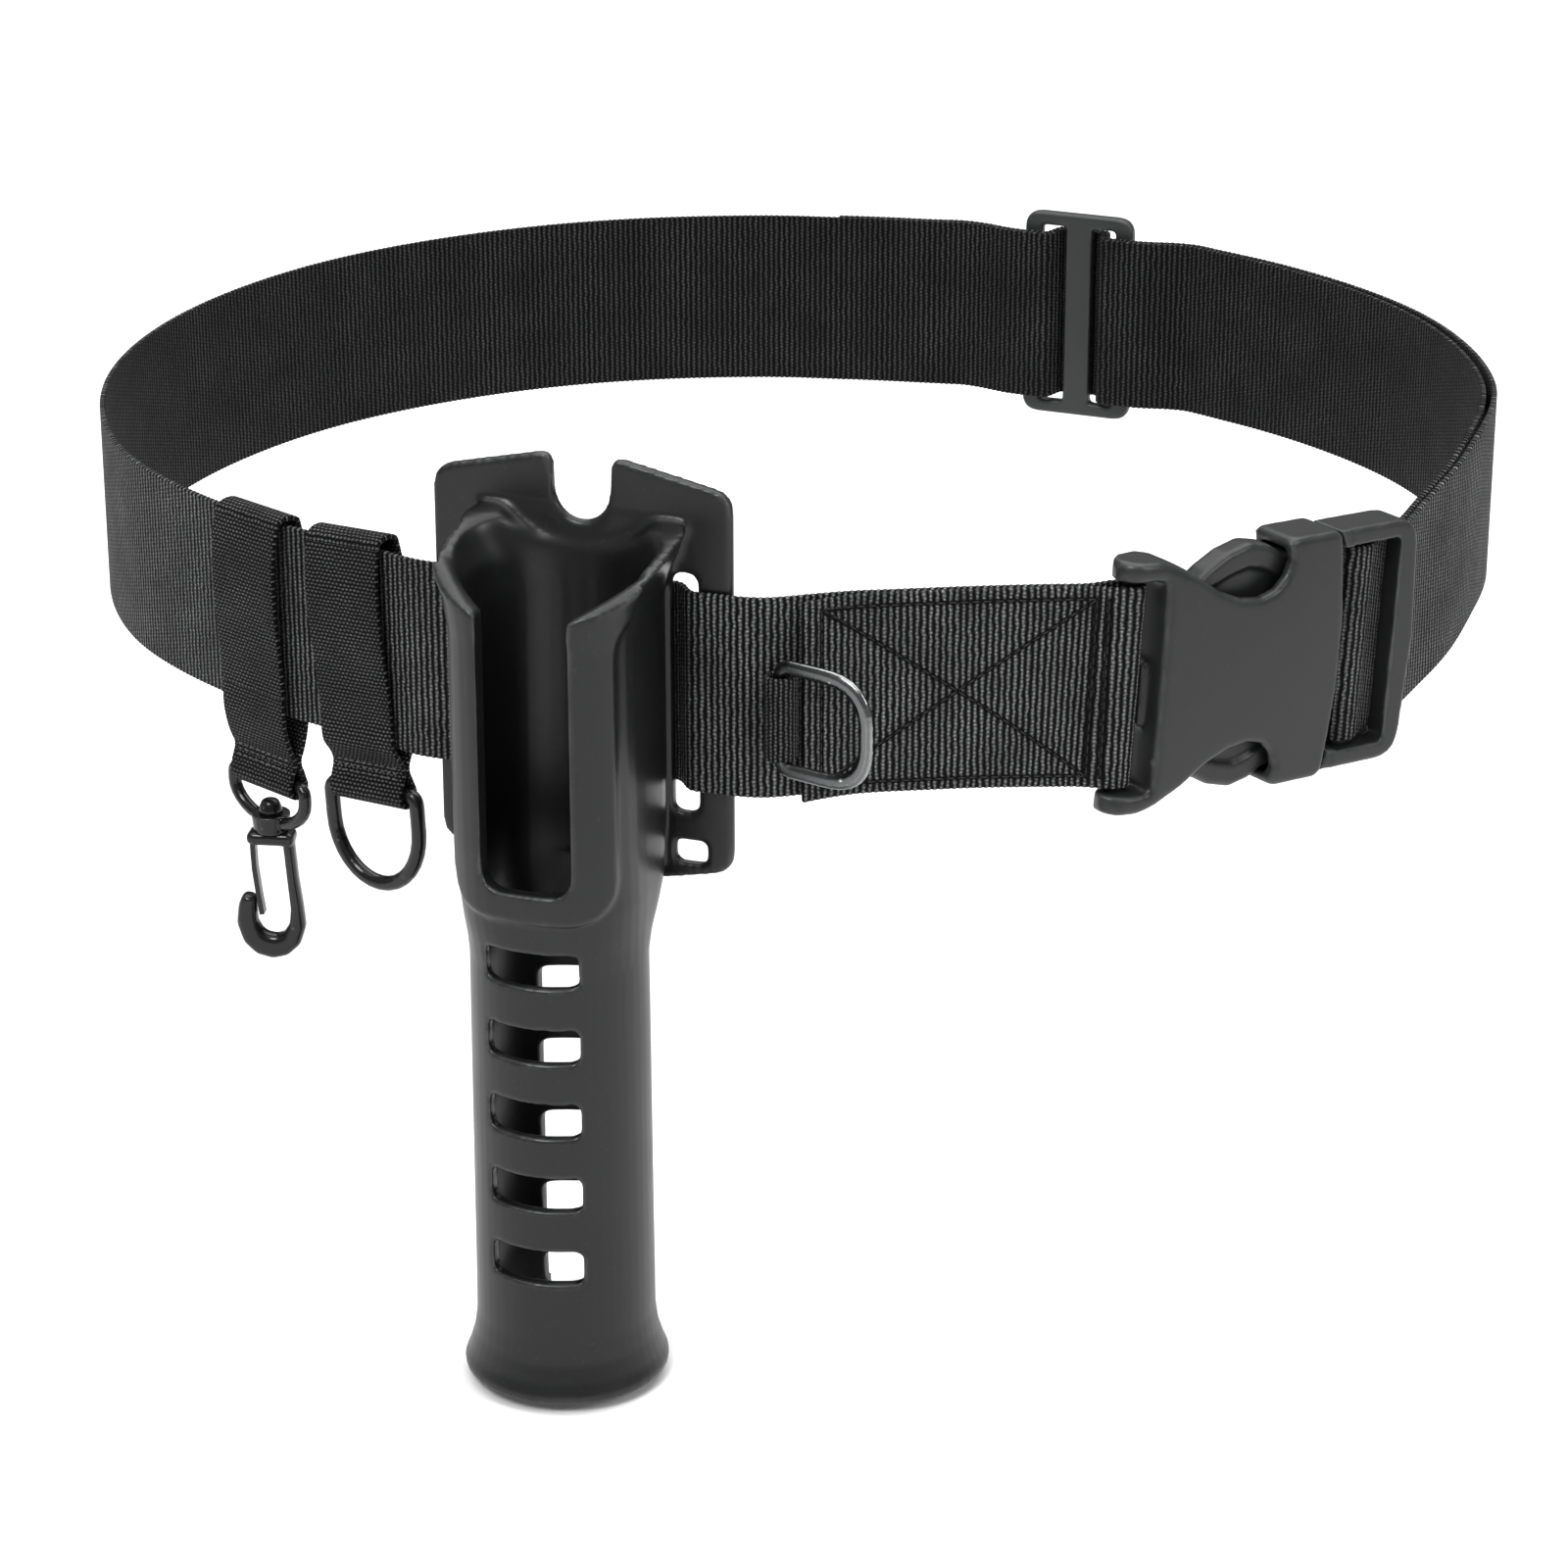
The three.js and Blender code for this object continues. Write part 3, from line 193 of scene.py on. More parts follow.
class Effects:
    """Shader node groups that several finishes share, each built once.

    A scale is a noise's number of cells in a metre. The surface's own bend reads 0.5 on a
    flat face, so the lighter edges, wear and painted highlight, start a little above that.
    """

    WOBBLE_SCALE = 420.0
    WOBBLE_SHARE = 0.55
    FIBRE_SCALE = 2600.0
    PATCH_SCALE = 70.0
    SPECK_SCALE = 900.0
    EDGE_PATCH_SCALE = 160.0
    BARELY_BENT = 0.508

    @staticmethod
    @cache
    def weave() -> bpy.types.NodeTree:
        """Ribs across the webbing, each a row of beads set off by half from the next.

        Returns:
            A group that turns cloth coordinates into a height, a share of painted crest highlight and a
            fuzz share.
        """
        numbers = {"Rib Pitch": 1.5 * MM, "Bead Pitch": 0.9 * MM, "Bead Depth": 0.5}
        group = EffectGroup("weave", numbers, ["Height", "Lit", "Fuzz"], where="Cloth")
        tree, given = group.tree, group.given
        parts = tree.add("ShaderNodeSeparateXYZ", {0: given["Cloth"]}).outputs
        wobble = tree.noise(given["Cloth"], Effects.WOBBLE_SCALE, 1.0)
        shift = tree.math("MULTIPLY", tree.math("SUBTRACT", wobble, 0.5), Effects.WOBBLE_SHARE)
        along = tree.math("ADD", tree.math("DIVIDE", parts[0], given["Rib Pitch"]), shift)
        row = tree.math("FLOOR", along)
        rib = tree.math("SINE", tree.math("MULTIPLY", tree.math("FRACT", along), math.pi))
        stagger = tree.math("MULTIPLY", row, 0.5)
        across = tree.math("ADD", tree.math("DIVIDE", parts[1], given["Bead Pitch"]), stagger)
        wave = tree.math("SINE", tree.math("MULTIPLY", across, 2 * math.pi))
        bead = tree.ramp(wave, -1.0, 1.0)
        cut = tree.math("MULTIPLY", given["Bead Depth"], tree.math("SUBTRACT", 1.0, bead))
        body = tree.math("SUBTRACT", 1.0, cut)
        height = tree.math("MULTIPLY", tree.math("POWER", rib, 0.7), body)
        fine = tree.noise(given["Cloth"], Effects.FIBRE_SCALE, 3.0)
        patch = tree.noise(given["Cloth"], Effects.PATCH_SCALE)
        fuzz = tree.ramp(fine, 0.35, 0.7, 0.25)
        spread = tree.math("MULTIPLY", fuzz, tree.ramp(patch, 0.3, 0.7, 0.6))
        # painted highlight: the rib crests are painted lighter where they would catch the light
        crest = tree.math("POWER", rib, 4.0)
        painted_highlight = tree.chain("MULTIPLY", crest, body, spread)
        return group.give(Height=height, Lit=painted_highlight, Fuzz=fine)

    @staticmethod
    @cache
    def seam() -> bpy.types.NodeTree:
        """A sewn box with both diagonals and one more row past its end.

        Returns:
            A group that turns cloth coordinates into the share of a pressed line.
        """
        numbers = {"Start": 0.0, "End": 0.0, "Half Height": 1.0, "Second Row": 0.0}
        group = EffectGroup("seam", numbers | {"Line Width": 0.5 * MM}, ["Line"], where="Cloth")
        tree, given = group.tree, group.given
        parts = tree.add("ShaderNodeSeparateXYZ", {0: given["Cloth"]}).outputs
        past_start = tree.math("SUBTRACT", parts[0], given["Start"])
        past_end = tree.math("SUBTRACT", parts[0], given["End"])
        past_second = tree.math("SUBTRACT", past_end, given["Second Row"])
        spans = [tree.math("ABSOLUTE", past) for past in (past_start, past_end, past_second)]
        uprights = tree.chain("MINIMUM", *spans)
        level = tree.math("ABSOLUTE", parts[1])
        over = tree.math("SUBTRACT", level, given["Half Height"])
        uprights = tree.math("MAXIMUM", uprights, over)
        run = tree.math("SUBTRACT", given["End"], given["Start"])
        share = tree.math("DIVIDE", past_start, run)
        centred = tree.math("SUBTRACT", tree.math("MULTIPLY", share, 2.0), 1.0)
        slant = tree.math("MULTIPLY", centred, given["Half Height"])
        steep = tree.math("DIVIDE", tree.math("MULTIPLY", given["Half Height"], 2.0), run)
        squeeze = tree.math("SQRT", tree.math("ADD", tree.math("MULTIPLY", steep, steep), 1.0))
        off_slant = tree.math("SUBTRACT", level, tree.math("ABSOLUTE", slant))
        cross = tree.math("DIVIDE", tree.math("ABSOLUTE", off_slant), squeeze)
        flats = tree.math("MINIMUM", cross, tree.math("ABSOLUTE", over))
        outside = tree.math("MAXIMUM", tree.math("MULTIPLY", past_start, -1.0), past_end)
        flats = tree.math("MAXIMUM", flats, outside)
        gap = tree.math("MINIMUM", uprights, flats)
        near = tree.math("DIVIDE", gap, given["Line Width"])
        return group.give(Line=tree.ramp(near, 0.5, 1.3, 1.0, 0.0))

    @staticmethod
    @cache
    def grain() -> bpy.types.NodeTree:
        """Fine mould grain with faint cloudy wear.

        Returns:
            A group that turns object coordinates into a height, a cloud and a speck share.
        """
        numbers = {"Grain Scale": 2600.0, "Cloud Scale": 28.0}
        group = EffectGroup("grain", numbers, ["Height", "Cloud", "Speck"], where="Place")
        tree, given = group.tree, group.given
        fine = tree.noise(given["Place"], given["Grain Scale"])
        cloud = tree.noise(given["Place"], given["Cloud Scale"], 3.0)
        specks = tree.ramp(tree.noise(given["Place"], Effects.SPECK_SCALE, 4.0), 0.62, 0.74)
        return group.give(Height=fine, Cloud=tree.ramp(cloud, 0.3, 0.7), Speck=specks)

    @staticmethod
    @cache
    def edge_wear_and_highlight() -> bpy.types.NodeTree:
        """Edges made a little lighter than the faces beside them, as wear and as painted highlight.

        Returns:
            A group that gives the share of edge wear and painted highlight from the surface's own bend.
        """
        group = EffectGroup("edge_wear_and_highlight", {"Sharpness": 0.56}, ["Wear"], where="Place")
        tree, given = group.tree, group.given
        bend = tree.add("ShaderNodeNewGeometry").outputs["Pointiness"]
        # share of lighter edge from the surface's bend: wear and painted highlight
        edge = tree.ramp(bend, Effects.BARELY_BENT, given["Sharpness"])
        patchy = tree.ramp(tree.noise(given["Place"], Effects.EDGE_PATCH_SCALE, 3.0), 0.35, 0.65, 0.35)
        return group.give(Wear=tree.math("MULTIPLY", edge, patchy))


def grey(value: float, tint: float = 0.0) -> tuple[float, float, float, float]:
    """Return a grey with a slight cool tint."""
    return (value, value * (1 + tint / 2), value * (1 + tint), 1.0)


class Skin:
    """A material in the making, with its tree and its main shader."""

    def __init__(self, name: str) -> None:
        """Make the material."""
        self.material = bpy.data.materials.new(name)
        self.material.use_nodes = True
        self.tree = Tree(self.material.node_tree)
        self.shader = self.material.node_tree.nodes["Principled BSDF"]

    def fit(self, inputs: dict) -> bpy.types.Material:
        """Set or feed the shader's sockets and return the material."""
        self.tree.feed(self.shader, inputs)
        return self.material

    def bump(self, height: object, strength: float, distance: float) -> bpy.types.NodeSocket:
        """Turn a height into a bumped normal."""
        inputs = {"Height": height, "Strength": strength, "Distance": distance}
        return self.tree.add("ShaderNodeBump", inputs).outputs["Normal"]


# Finishes


@dataclass(frozen=True)
class WebbingFinish:
    """Black nylon webbing: dark valleys, and rib crests painted lighter as a highlight."""

    name: str
    rib_pitch: float = 1.55 * MM
    bead_pitch: float = 1.0 * MM
    bead_depth: float = 0.6
    dark: float = 0.0022
    # grey of the painted highlight on the rib crests
    light: float = 0.45
    # painted shade: share of the painted rib highlight kept on the side facing the waist
    waist_side_highlight: float = 1.0
    bump: float = 0.35 * MM
    roughness: float = 0.6
    sheen: float = 0.02
    specular: float = 0.1
    seam: tuple[float, float, float, float] | None = None
    seam_dark: float = 0.95
    seam_depth: float = 1.6

    def material(self) -> bpy.types.Material:
        """Build the material from the piece's cloth map."""
        skin = Skin(self.name)
        tree = skin.tree
        cloth = tree.add("ShaderNodeUVMap", uv_map=CLOTH_MAP).outputs["UV"]
        inputs = {"Cloth": cloth, "Rib Pitch": self.rib_pitch, "Bead Pitch": self.bead_pitch}
        weave = tree.use(Effects.weave(), inputs | {"Bead Depth": self.bead_depth})
        painted_highlight, height = weave["Lit"], weave["Height"]
        if self.seam:
            box = dict(zip(("Start", "End", "Half Height", "Second Row"), self.seam))
            line = tree.use(Effects.seam(), {"Cloth": cloth} | box)["Line"]
            unpressed = tree.math("SUBTRACT", 1.0, tree.math("MULTIPLY", line, self.seam_dark))
            painted_highlight = tree.math("MULTIPLY", painted_highlight, unpressed)
            height = tree.math("SUBTRACT", height, tree.math("MULTIPLY", line, self.seam_depth))
        # painted shade: less rib highlight on the side facing the waist
        if self.waist_side_highlight < 1.0:
            painted_highlight = tree.math("MULTIPLY", painted_highlight, self.highlight_by_side(tree))
        rough = (self.roughness - 0.08, self.roughness + 0.1)
        return skin.fit({
            # near-black webbing with the painted rib-crest highlight mixed in
            "Base Color": tree.mix(painted_highlight, grey(self.dark, 0.04), grey(self.light, 0.02)),
            "Roughness": tree.ramp(weave["Fuzz"], 0.3, 0.7, *rough),
            "Normal": skin.bump(height, 1.0, self.bump),
            "Sheen Weight": self.sheen,
            "Sheen Roughness": 0.5,
            "Specular IOR Level": self.specular,
        })

    def highlight_by_side(self, tree: Tree) -> bpy.types.NodeSocket:
        """Share of the painted rib highlight: full on the side away from the waist, less on the side
        that faces it, as painted shade.
        """
        flat = tree.vector("MULTIPLY", tree.place(), (1.0, 1.0, 0.0)).outputs[0]
        away = tree.vector("NORMALIZE", flat).outputs[0]
        facing = tree.add("ShaderNodeNewGeometry").outputs["True Normal"]
        turn = tree.vector("DOT_PRODUCT", facing, away).outputs["Value"]
        return tree.ramp(turn, -0.3, 0.3, self.waist_side_highlight)


class GrainWearHighlightSkin(Skin):
    """A hard skin with fine grain, clouds, specks and edges painted lighter as wear and highlight."""

    def __init__(self, name: str, sharpness: float | None = None) -> None:
        """Place the shared effects.

        Args:
            name: the material's name.
            sharpness: how sharp an edge is made lighter all over, as wear and painted highlight, or None
                for the effect's own.
        """
        super().__init__(name)
        place = self.tree.place()
        self.grain = self.tree.use(Effects.grain(), {"Place": place})
        edges = {"Place": place} | ({"Sharpness": sharpness} if sharpness else {})
        self.wear_and_highlight = self.tree.use(Effects.edge_wear_and_highlight(), edges)["Wear"]

    def speck(self, colour: object, share: float, grey_value: float) -> bpy.types.NodeSocket:
        """Sprinkle a colour with specks of a grey."""
        specks = self.tree.math("MULTIPLY", self.grain["Speck"], share)
        return self.tree.mix(specks, colour, grey(grey_value))

    def cloudy(self, low: float, high: float) -> bpy.types.NodeSocket:
        """Return a roughness that drifts with the clouds."""
        return self.tree.ramp(self.grain["Cloud"], 0.0, 1.0, low, high)


@dataclass(frozen=True)
class PlasticFinish:
    """Moulded black plastic with a satin skin."""

    name: str
    base: float = 0.007
    lighter: float = 0.011
    # grey of the lighter edges: a painted edge highlight on this plastic
    wear_and_highlight_grey: float = 0.09
    sharpness: float = 0.545
    roughness: float = 0.36
    grain_height: float = 0.02 * MM

    def material(self) -> bpy.types.Material:
        """Build the material from object coordinates."""
        skin = GrainWearHighlightSkin(self.name, self.sharpness)
        tree = skin.tree
        colour = tree.mix(skin.grain["Cloud"], grey(self.base, 0.06), grey(self.lighter, 0.06))
        # painted highlight: sharp edges painted lighter in colour
        colour = tree.mix(tree.math("MULTIPLY", skin.wear_and_highlight, 0.6), colour, grey(self.wear_and_highlight_grey, 0.03))
        return skin.fit({
            "Base Color": skin.speck(colour, 0.12, 0.09),
            "Roughness": skin.cloudy(self.roughness - 0.03, self.roughness + 0.05),
            "Normal": skin.bump(skin.grain["Height"], 0.6, self.grain_height),
        })


@dataclass(frozen=True)
class MetalFinish:
    """Dark gunmetal plate over stamped steel, brighter along its edges."""

    name: str
    base: float = 0.16
    # grey of the lighter edges: worn plate and painted highlight
    wear_and_highlight_grey: float = 0.7
    roughness: float = 0.26
    grain_height: float = 0.02 * MM

    def material(self) -> bpy.types.Material:
        """Build the material from object coordinates."""
        skin = GrainWearHighlightSkin(self.name)
        # edges painted lighter: worn plate and painted highlight
        colour = skin.tree.mix(skin.wear_and_highlight, grey(self.base, 0.03), grey(self.wear_and_highlight_grey))
        return skin.fit({
            "Base Color": skin.speck(colour, 0.3, 0.03),
            "Roughness": skin.cloudy(self.roughness - 0.06, self.roughness + 0.08),
            "Normal": skin.bump(skin.grain["Height"], 0.4, self.grain_height),
            "Metallic": 1.0,
        })


@dataclass(frozen=True)
class ThreadFinish:
    """Twisted sewing thread."""

    name: str
    dark: float = 0.004
    light: float = 0.02
    twist_scale: float = 3200.0
    twist_height: float = 0.08 * MM

    def material(self) -> bpy.types.Material:
        """Build the material from object coordinates."""
        skin = Skin(self.name)
        tree = skin.tree
        twist = tree.noise(tree.place(), self.twist_scale)
        return skin.fit({
            "Base Color": tree.mix(tree.ramp(twist, 0.35, 0.65), grey(self.dark), grey(self.light)),
            "Roughness": 0.6,
            "Normal": skin.bump(twist, 0.7, self.twist_height),
        })


# Meshes


def only_active(piece: bpy.types.Object) -> None:
    """Select one object alone and make it the active one."""
    for other in bpy.context.selected_objects:
        other.select_set(False)
    piece.select_set(True)
    bpy.context.view_layer.objects.active = piece


def apply_modifier(piece: bpy.types.Object, kind: str, **settings: object) -> None:
    """Add one modifier to a piece and apply it.

    Args:
        piece: the piece to change.
        kind: the modifier's type name.
        settings: properties set on the modifier.
    """
    only_active(piece)
    modifier = piece.modifiers.new(kind.lower(), kind)
    for name, value in settings.items():
        setattr(modifier, name, value)
    bpy.ops.object.modifier_apply(modifier=modifier.name)


def corner_array(piece: bpy.types.Object) -> np.ndarray:
    """Return the piece's vertices as rows of x, y and z."""
    flat = np.empty(len(piece.data.vertices) * 3)
    piece.data.vertices.foreach_get("co", flat)
    return flat.reshape(-1, 3)


def set_corners(piece: bpy.types.Object, corners: np.ndarray) -> None:
    """Move the piece's vertices to new places."""
    piece.data.vertices.foreach_set("co", corners.astype(np.float32).ravel())
    piece.data.update()


def dress(piece: bpy.types.Object, material: bpy.types.Material) -> None:
    """Give a piece one material."""
    piece.data.materials.clear()
    piece.data.materials.append(material)


def finished(piece: bpy.types.Object, slot: Slot, body: str, *nodes: str) -> bpy.types.Object:
    """Let a piece ride on its body and stand for its nodes.

    Args:
        piece: the finished piece.
        slot: not used.
        body: the body it moves with.
        nodes: the CAD nodes it stands for.

    Returns:
        The same piece.
    """
    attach(piece, body)
    if nodes:
        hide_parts(*nodes)
    LOG.info("%s: %d faces", piece.name, len(piece.data.polygons))
    return piece


def edit_all(piece: bpy.types.Object, operator: Callable, **settings: object) -> None:
    """Run one edit-mode operator on everything in a piece.

    Args:
        piece: the piece to change.
        operator: one of the mesh operators.
        settings: the operator's own settings.
    """
    only_active(piece)
    bpy.ops.object.mode_set(mode="EDIT")
    bpy.ops.mesh.select_all(action="SELECT")
    operator(**settings)
    bpy.ops.object.mode_set(mode="OBJECT")


def merged_copy(node: bpy.types.Object, name: str) -> bpy.types.Object:
    """Copy a CAD node with its doubled corners merged."""
    piece = bpy.data.objects.new(name, node.data.copy())
    bpy.context.scene.collection.objects.link(piece)
    edit_all(piece, bpy.ops.mesh.remove_doubles, threshold=SAME_PLACE)
    return piece


def join_to(piece: bpy.types.Object, extra: bpy.types.Object) -> None:
    """Join another closed shape to a piece."""
    only_active(piece)
    extra.select_set(True)
    bpy.ops.object.join()


def cut_from(piece: bpy.types.Object, cutter: bpy.types.Object) -> None:
    """Cut a closed shape out of a piece and remove the cutter."""
    apply_modifier(piece, "BOOLEAN", object=cutter, operation="DIFFERENCE", solver="EXACT")
    bpy.data.objects.remove(cutter)


@dataclass(frozen=True)
class Place:
    """A piece's own frame: x along the strap, y into the waist, z up."""

    origin_mm: Triple
    x_axis: Triple
    z_axis: Triple = (0.0, 0.0, 1.0)

    def axes(self) -> np.ndarray:
        """Return the frame's three axes as rows."""
        x_axis, z_axis = np.array(self.x_axis), np.array(self.z_axis)
        return np.array([x_axis, np.cross(z_axis, x_axis), z_axis])

    def outward(self, local_mm: np.ndarray) -> np.ndarray:
        """Turn points of the frame in millimetres into the scene's points."""
        return (local_mm @ self.axes() + np.array(self.origin_mm)) * MM

    def inward(self, points: np.ndarray) -> np.ndarray:
        """Turn the scene's points into points of the frame in millimetres."""
        return (points / MM - np.array(self.origin_mm)) @ self.axes().T

    def prism(self, outline: list[Pair], front: float, back: float) -> bpy.types.Object:
        """Make a closed prism from an outline seen from the front.

        Args:
            outline: corners as x and z in millimetres, in order round the outline.
            front: y of its front face in millimetres.
            back: y of its back face in millimetres.

        Returns:
            The prism.
        """
        bpy.ops.mesh.primitive_cylinder_add(vertices=len(outline), radius=1.0, depth=2.0)
        shape = bpy.context.object
        turned = corner_array(shape)
        angle = np.arctan2(turned[:, 1], turned[:, 0])
        order = np.argsort(np.argsort(np.round(angle[turned[:, 2] > 0], 4)))
        flat = np.array(outline)
        corners = np.zeros_like(turned)
        for side, depth in ((turned[:, 2] > 0, back), (turned[:, 2] <= 0, front)):
            corners[side] = np.column_stack([flat[order, 0], np.full(len(order), depth), flat[order, 1]])
        set_corners(shape, self.outward(corners))
        edit_all(shape, bpy.ops.mesh.normals_make_consistent, inside=False)
        return shape


@dataclass(frozen=True)
class Fade:
    """A share that is 0 up to its start and 1 after its run, which may be negative."""

    start: float
    run: float

    def of(self, values: np.ndarray) -> np.ndarray:
        """Return the share at each value."""
        return np.clip((values - self.start) / self.run, 0.0, 1.0)


def relax(piece: bpy.types.Object, share: np.ndarray, rounds: int) -> None:
    """Smooth a piece where a share per vertex asks for it.

    Args:
        piece: the piece.
        share: from 0 to 1 for each vertex.
        rounds: how many times it is smoothed.
    """
    steps = 10
    group = piece.vertex_groups.new(name="relaxed")
    level = np.round(share * steps).astype(int)
    for step in range(1, steps + 1):
        group.add(np.nonzero(level == step)[0].tolist(), step / steps, "REPLACE")
    apply_modifier(piece, "SMOOTH", factor=0.5, iterations=rounds, vertex_group="relaxed")
    piece.vertex_groups.clear()


@dataclass(frozen=True)
class Mould:
    """How finely a moulding's skin is rebuilt, relaxed and puffed back out."""

    voxel_mm: float
    smoothing: int
    puff_mm: float = 0.0
    most: int = 180000

    def press(self, piece: bpy.types.Object) -> None:
        """Rebuild and round a piece's skin."""
        apply_modifier(piece, "REMESH", mode="VOXEL", voxel_size=self.voxel_mm * MM, adaptivity=0.0)
        apply_modifier(piece, "SMOOTH", factor=0.5, iterations=self.smoothing)
        if self.puff_mm:
            push = {"strength": self.puff_mm * MM, "mid_level": 0.0}
            apply_modifier(piece, "DISPLACE", **push, direction="NORMAL")

    def trim(self, piece: bpy.types.Object) -> None:
        """Thin the skin down to its triangle budget and shade it smooth."""
        triangles = 2 * len(piece.data.polygons)
        if triangles > self.most:
            apply_modifier(piece, "DECIMATE", ratio=self.most / triangles)
        piece.data.shade_smooth()


# Webbing


def unit(rows: np.ndarray) -> np.ndarray:
    """Return the rows scaled to length one."""
    return rows / np.linalg.norm(rows, axis=-1, keepdims=True)


def through(points: np.ndarray, at: np.ndarray, new: np.ndarray) -> np.ndarray:
    """Smooth curve through points that lie at rising places.

    Args:
        points: one row for each place.
        at: the places.
        new: the places that are wanted.

    Returns:
        One row for each wanted place.
    """
    steps = np.diff(at)[:, None]
    slopes = np.diff(points, axis=0) / steps
    inner = (slopes[:-1] * steps[1:] + slopes[1:] * steps[:-1]) / (steps[1:] + steps[:-1])
    bends = np.vstack([slopes[:1], inner, slopes[-1:]])
    place = np.clip(np.searchsorted(at, new, side="right") - 1, 0, len(at) - 2)
    width = steps[place]
    share = ((new - at[place])[:, None]) / width
    ahead = share**2 * (3 - 2 * share)
    start = share * (1 - share) ** 2 * width
    end = share**2 * (share - 1) * width
    level = points[place] * (1 - ahead) + points[place + 1] * ahead
    return level + bends[place] * start + bends[place + 1] * end


@dataclass
class BandPath:
    """Sections of a band of webbing, read from its CAD solid.

    Attributes:
        middles: the middle of each section.
        edges: the unit direction across the band at each section.
        outs: the unit direction through the band at each section.
        width: the band's width.
        thick: the band's thickness.
        closed: whether the last section meets the first.
    """

    middles: np.ndarray
    edges: np.ndarray
    outs: np.ndarray
    width: float
    thick: float
    closed: bool

    @classmethod
    def read(cls, node: bpy.types.Object, across: np.ndarray, closed: bool) -> "BandPath":
        """Walk round the two rims of a band's solid and pair their corners.

        Args:
            node: the CAD node, a band of four-cornered sections.
            across: a direction that points to the band's first rim.
            closed: whether the band meets itself.

        Returns:
            The band's sections in order.
        """
        points, triangles = cls.welded(node)
        level = points @ across
        first = level > (level.max() + level.min()) / 2
        beside: dict[int, set[int]] = {}
        opposite: dict[int, tuple[float, int]] = {}
        for triangle in triangles:
            on = [int(k) for k in triangle if first[k]]
            off = [int(k) for k in triangle if not first[k]]
            if len(on) == 2 and off:
                beside.setdefault(on[0], set()).add(on[1])
                beside.setdefault(on[1], set()).add(on[0])
            for near in on:
                for far in off:
                    span = float(np.linalg.norm(points[near] - points[far]))
                    opposite[near] = min(opposite.get(near, (math.inf, -1)), (span, far))
        rings = cls.rings(beside)
        if closed:
            rings.sort(key=lambda ring: -cls.perimeter(points[ring]))
            outer = rings[0]
            inner = [
                min(rings[1], key=lambda k: float(np.linalg.norm(points[k] - points[corner])))
                for corner in outer
            ]
        else:
            outer, inner = cls.halves(rings[0], points)
        rims = [points[outer], points[inner]]
        feet = [points[[opposite[k][1] for k in rim]] for rim in (outer, inner)]
        middles = (rims[0] + rims[1] + feet[0] + feet[1]) / 4
        edges = unit(rims[0] + rims[1] - feet[0] - feet[1])
        through_band = rims[0] + feet[0] - rims[1] - feet[1]
        width = float(np.median(np.linalg.norm(rims[0] - feet[0], axis=1)))
        thick = float(np.median(np.linalg.norm(rims[0] - rims[1], axis=1)))
        return cls(middles, edges, unit(through_band), width, thick, closed)

    @staticmethod
    def welded(node: bpy.types.Object) -> tuple[np.ndarray, np.ndarray]:
        """Read a node with the corners that share a place taken as one.

        Args:
            node: the CAD node.

        Returns:
            The places, and the triangles as rows of three of them.
        """
        mesh = node.data
        mesh.calc_loop_triangles()
        raw = corner_array(node)
        cells = np.round(raw / (2 * SAME_PLACE)).astype(int)
        keys, index = np.unique(cells, axis=0, return_inverse=True)
        points = np.zeros((len(keys), 3))
        points[index.ravel()] = raw
        flat = np.empty(len(mesh.loop_triangles) * 3, int)
        mesh.loop_triangles.foreach_get("vertices", flat)
        return points, index.ravel()[flat].reshape(-1, 3)

    @staticmethod
    def rings(beside: dict[int, set[int]]) -> list[list[int]]:
        """Walk from corner to corner, lowest number first, until all are in a ring."""
        rings = []
        left = set(beside)
        while left:
            ring = [min(left)]
            left.discard(ring[0])
            while onward := beside[ring[-1]] & left:
                ring.append(min(onward))
                left.discard(ring[-1])
            rings.append(ring)
        return rings

    @staticmethod
    def perimeter(points: np.ndarray) -> float:
        """Return the length of a closed line."""
        return float(np.linalg.norm(points - np.roll(points, 1, axis=0), axis=1).sum())

    @staticmethod
    def halves(ring: list[int], points: np.ndarray) -> tuple[list[int], list[int]]:
        """Split an open band's rim at its two ends.

        Args:
            ring: the rim's corners, out along one face and back along the other.
            points: the corners' places.

        Returns:
            The corners on one face, and those across from them on the other.
        """
        half = len(ring) // 2
        best = None
        for turn in range(half):
            turned = ring[turn:] + ring[:turn]
            one, other = turned[:half], turned[half:][::-1]
            spans = np.linalg.norm(points[one] - points[other], axis=1)
            if best is None or spans.std() < best[0]:
                best = (spans.std(), one, other)
        return best[1], best[2]

    def places(self) -> np.ndarray:
        """Return each section's distance along, with the first again at the end if closed."""
        middles = np.vstack([self.middles, self.middles[:1]]) if self.closed else self.middles
        return np.concatenate([[0.0], np.cumsum(np.linalg.norm(np.diff(middles, axis=0), axis=1))])

    def at(self, places: np.ndarray) -> tuple[np.ndarray, np.ndarray, np.ndarray]:
        """Middles, directions across and directions through the band at any places along it."""
        rows = np.hstack([self.middles, self.edges, self.outs])
        known = self.places()
        if self.closed:
            reach = 3
            rows = np.vstack([rows[-reach:], rows, rows[: reach + 1]])
            before = known[-1 - reach:-1] - known[-1]
            known = np.concatenate([before, known[:-1], known[-1] + known[: reach + 1]])
        found = through(rows, known, places)
        return found[:, :3], unit(found[:, 3:6]), unit(found[:, 6:])

    def spot(self, along: np.ndarray, across: np.ndarray) -> np.ndarray:
        """Points on the band's outer face.

        Args:
            along: distances along the band.
            across: distances up from its middle line.

        Returns:
            One point for each pair of distances.
        """
        middles, edges, outs = self.at(along)
        return middles + edges * across[:, None] + outs * (self.thick / 2)


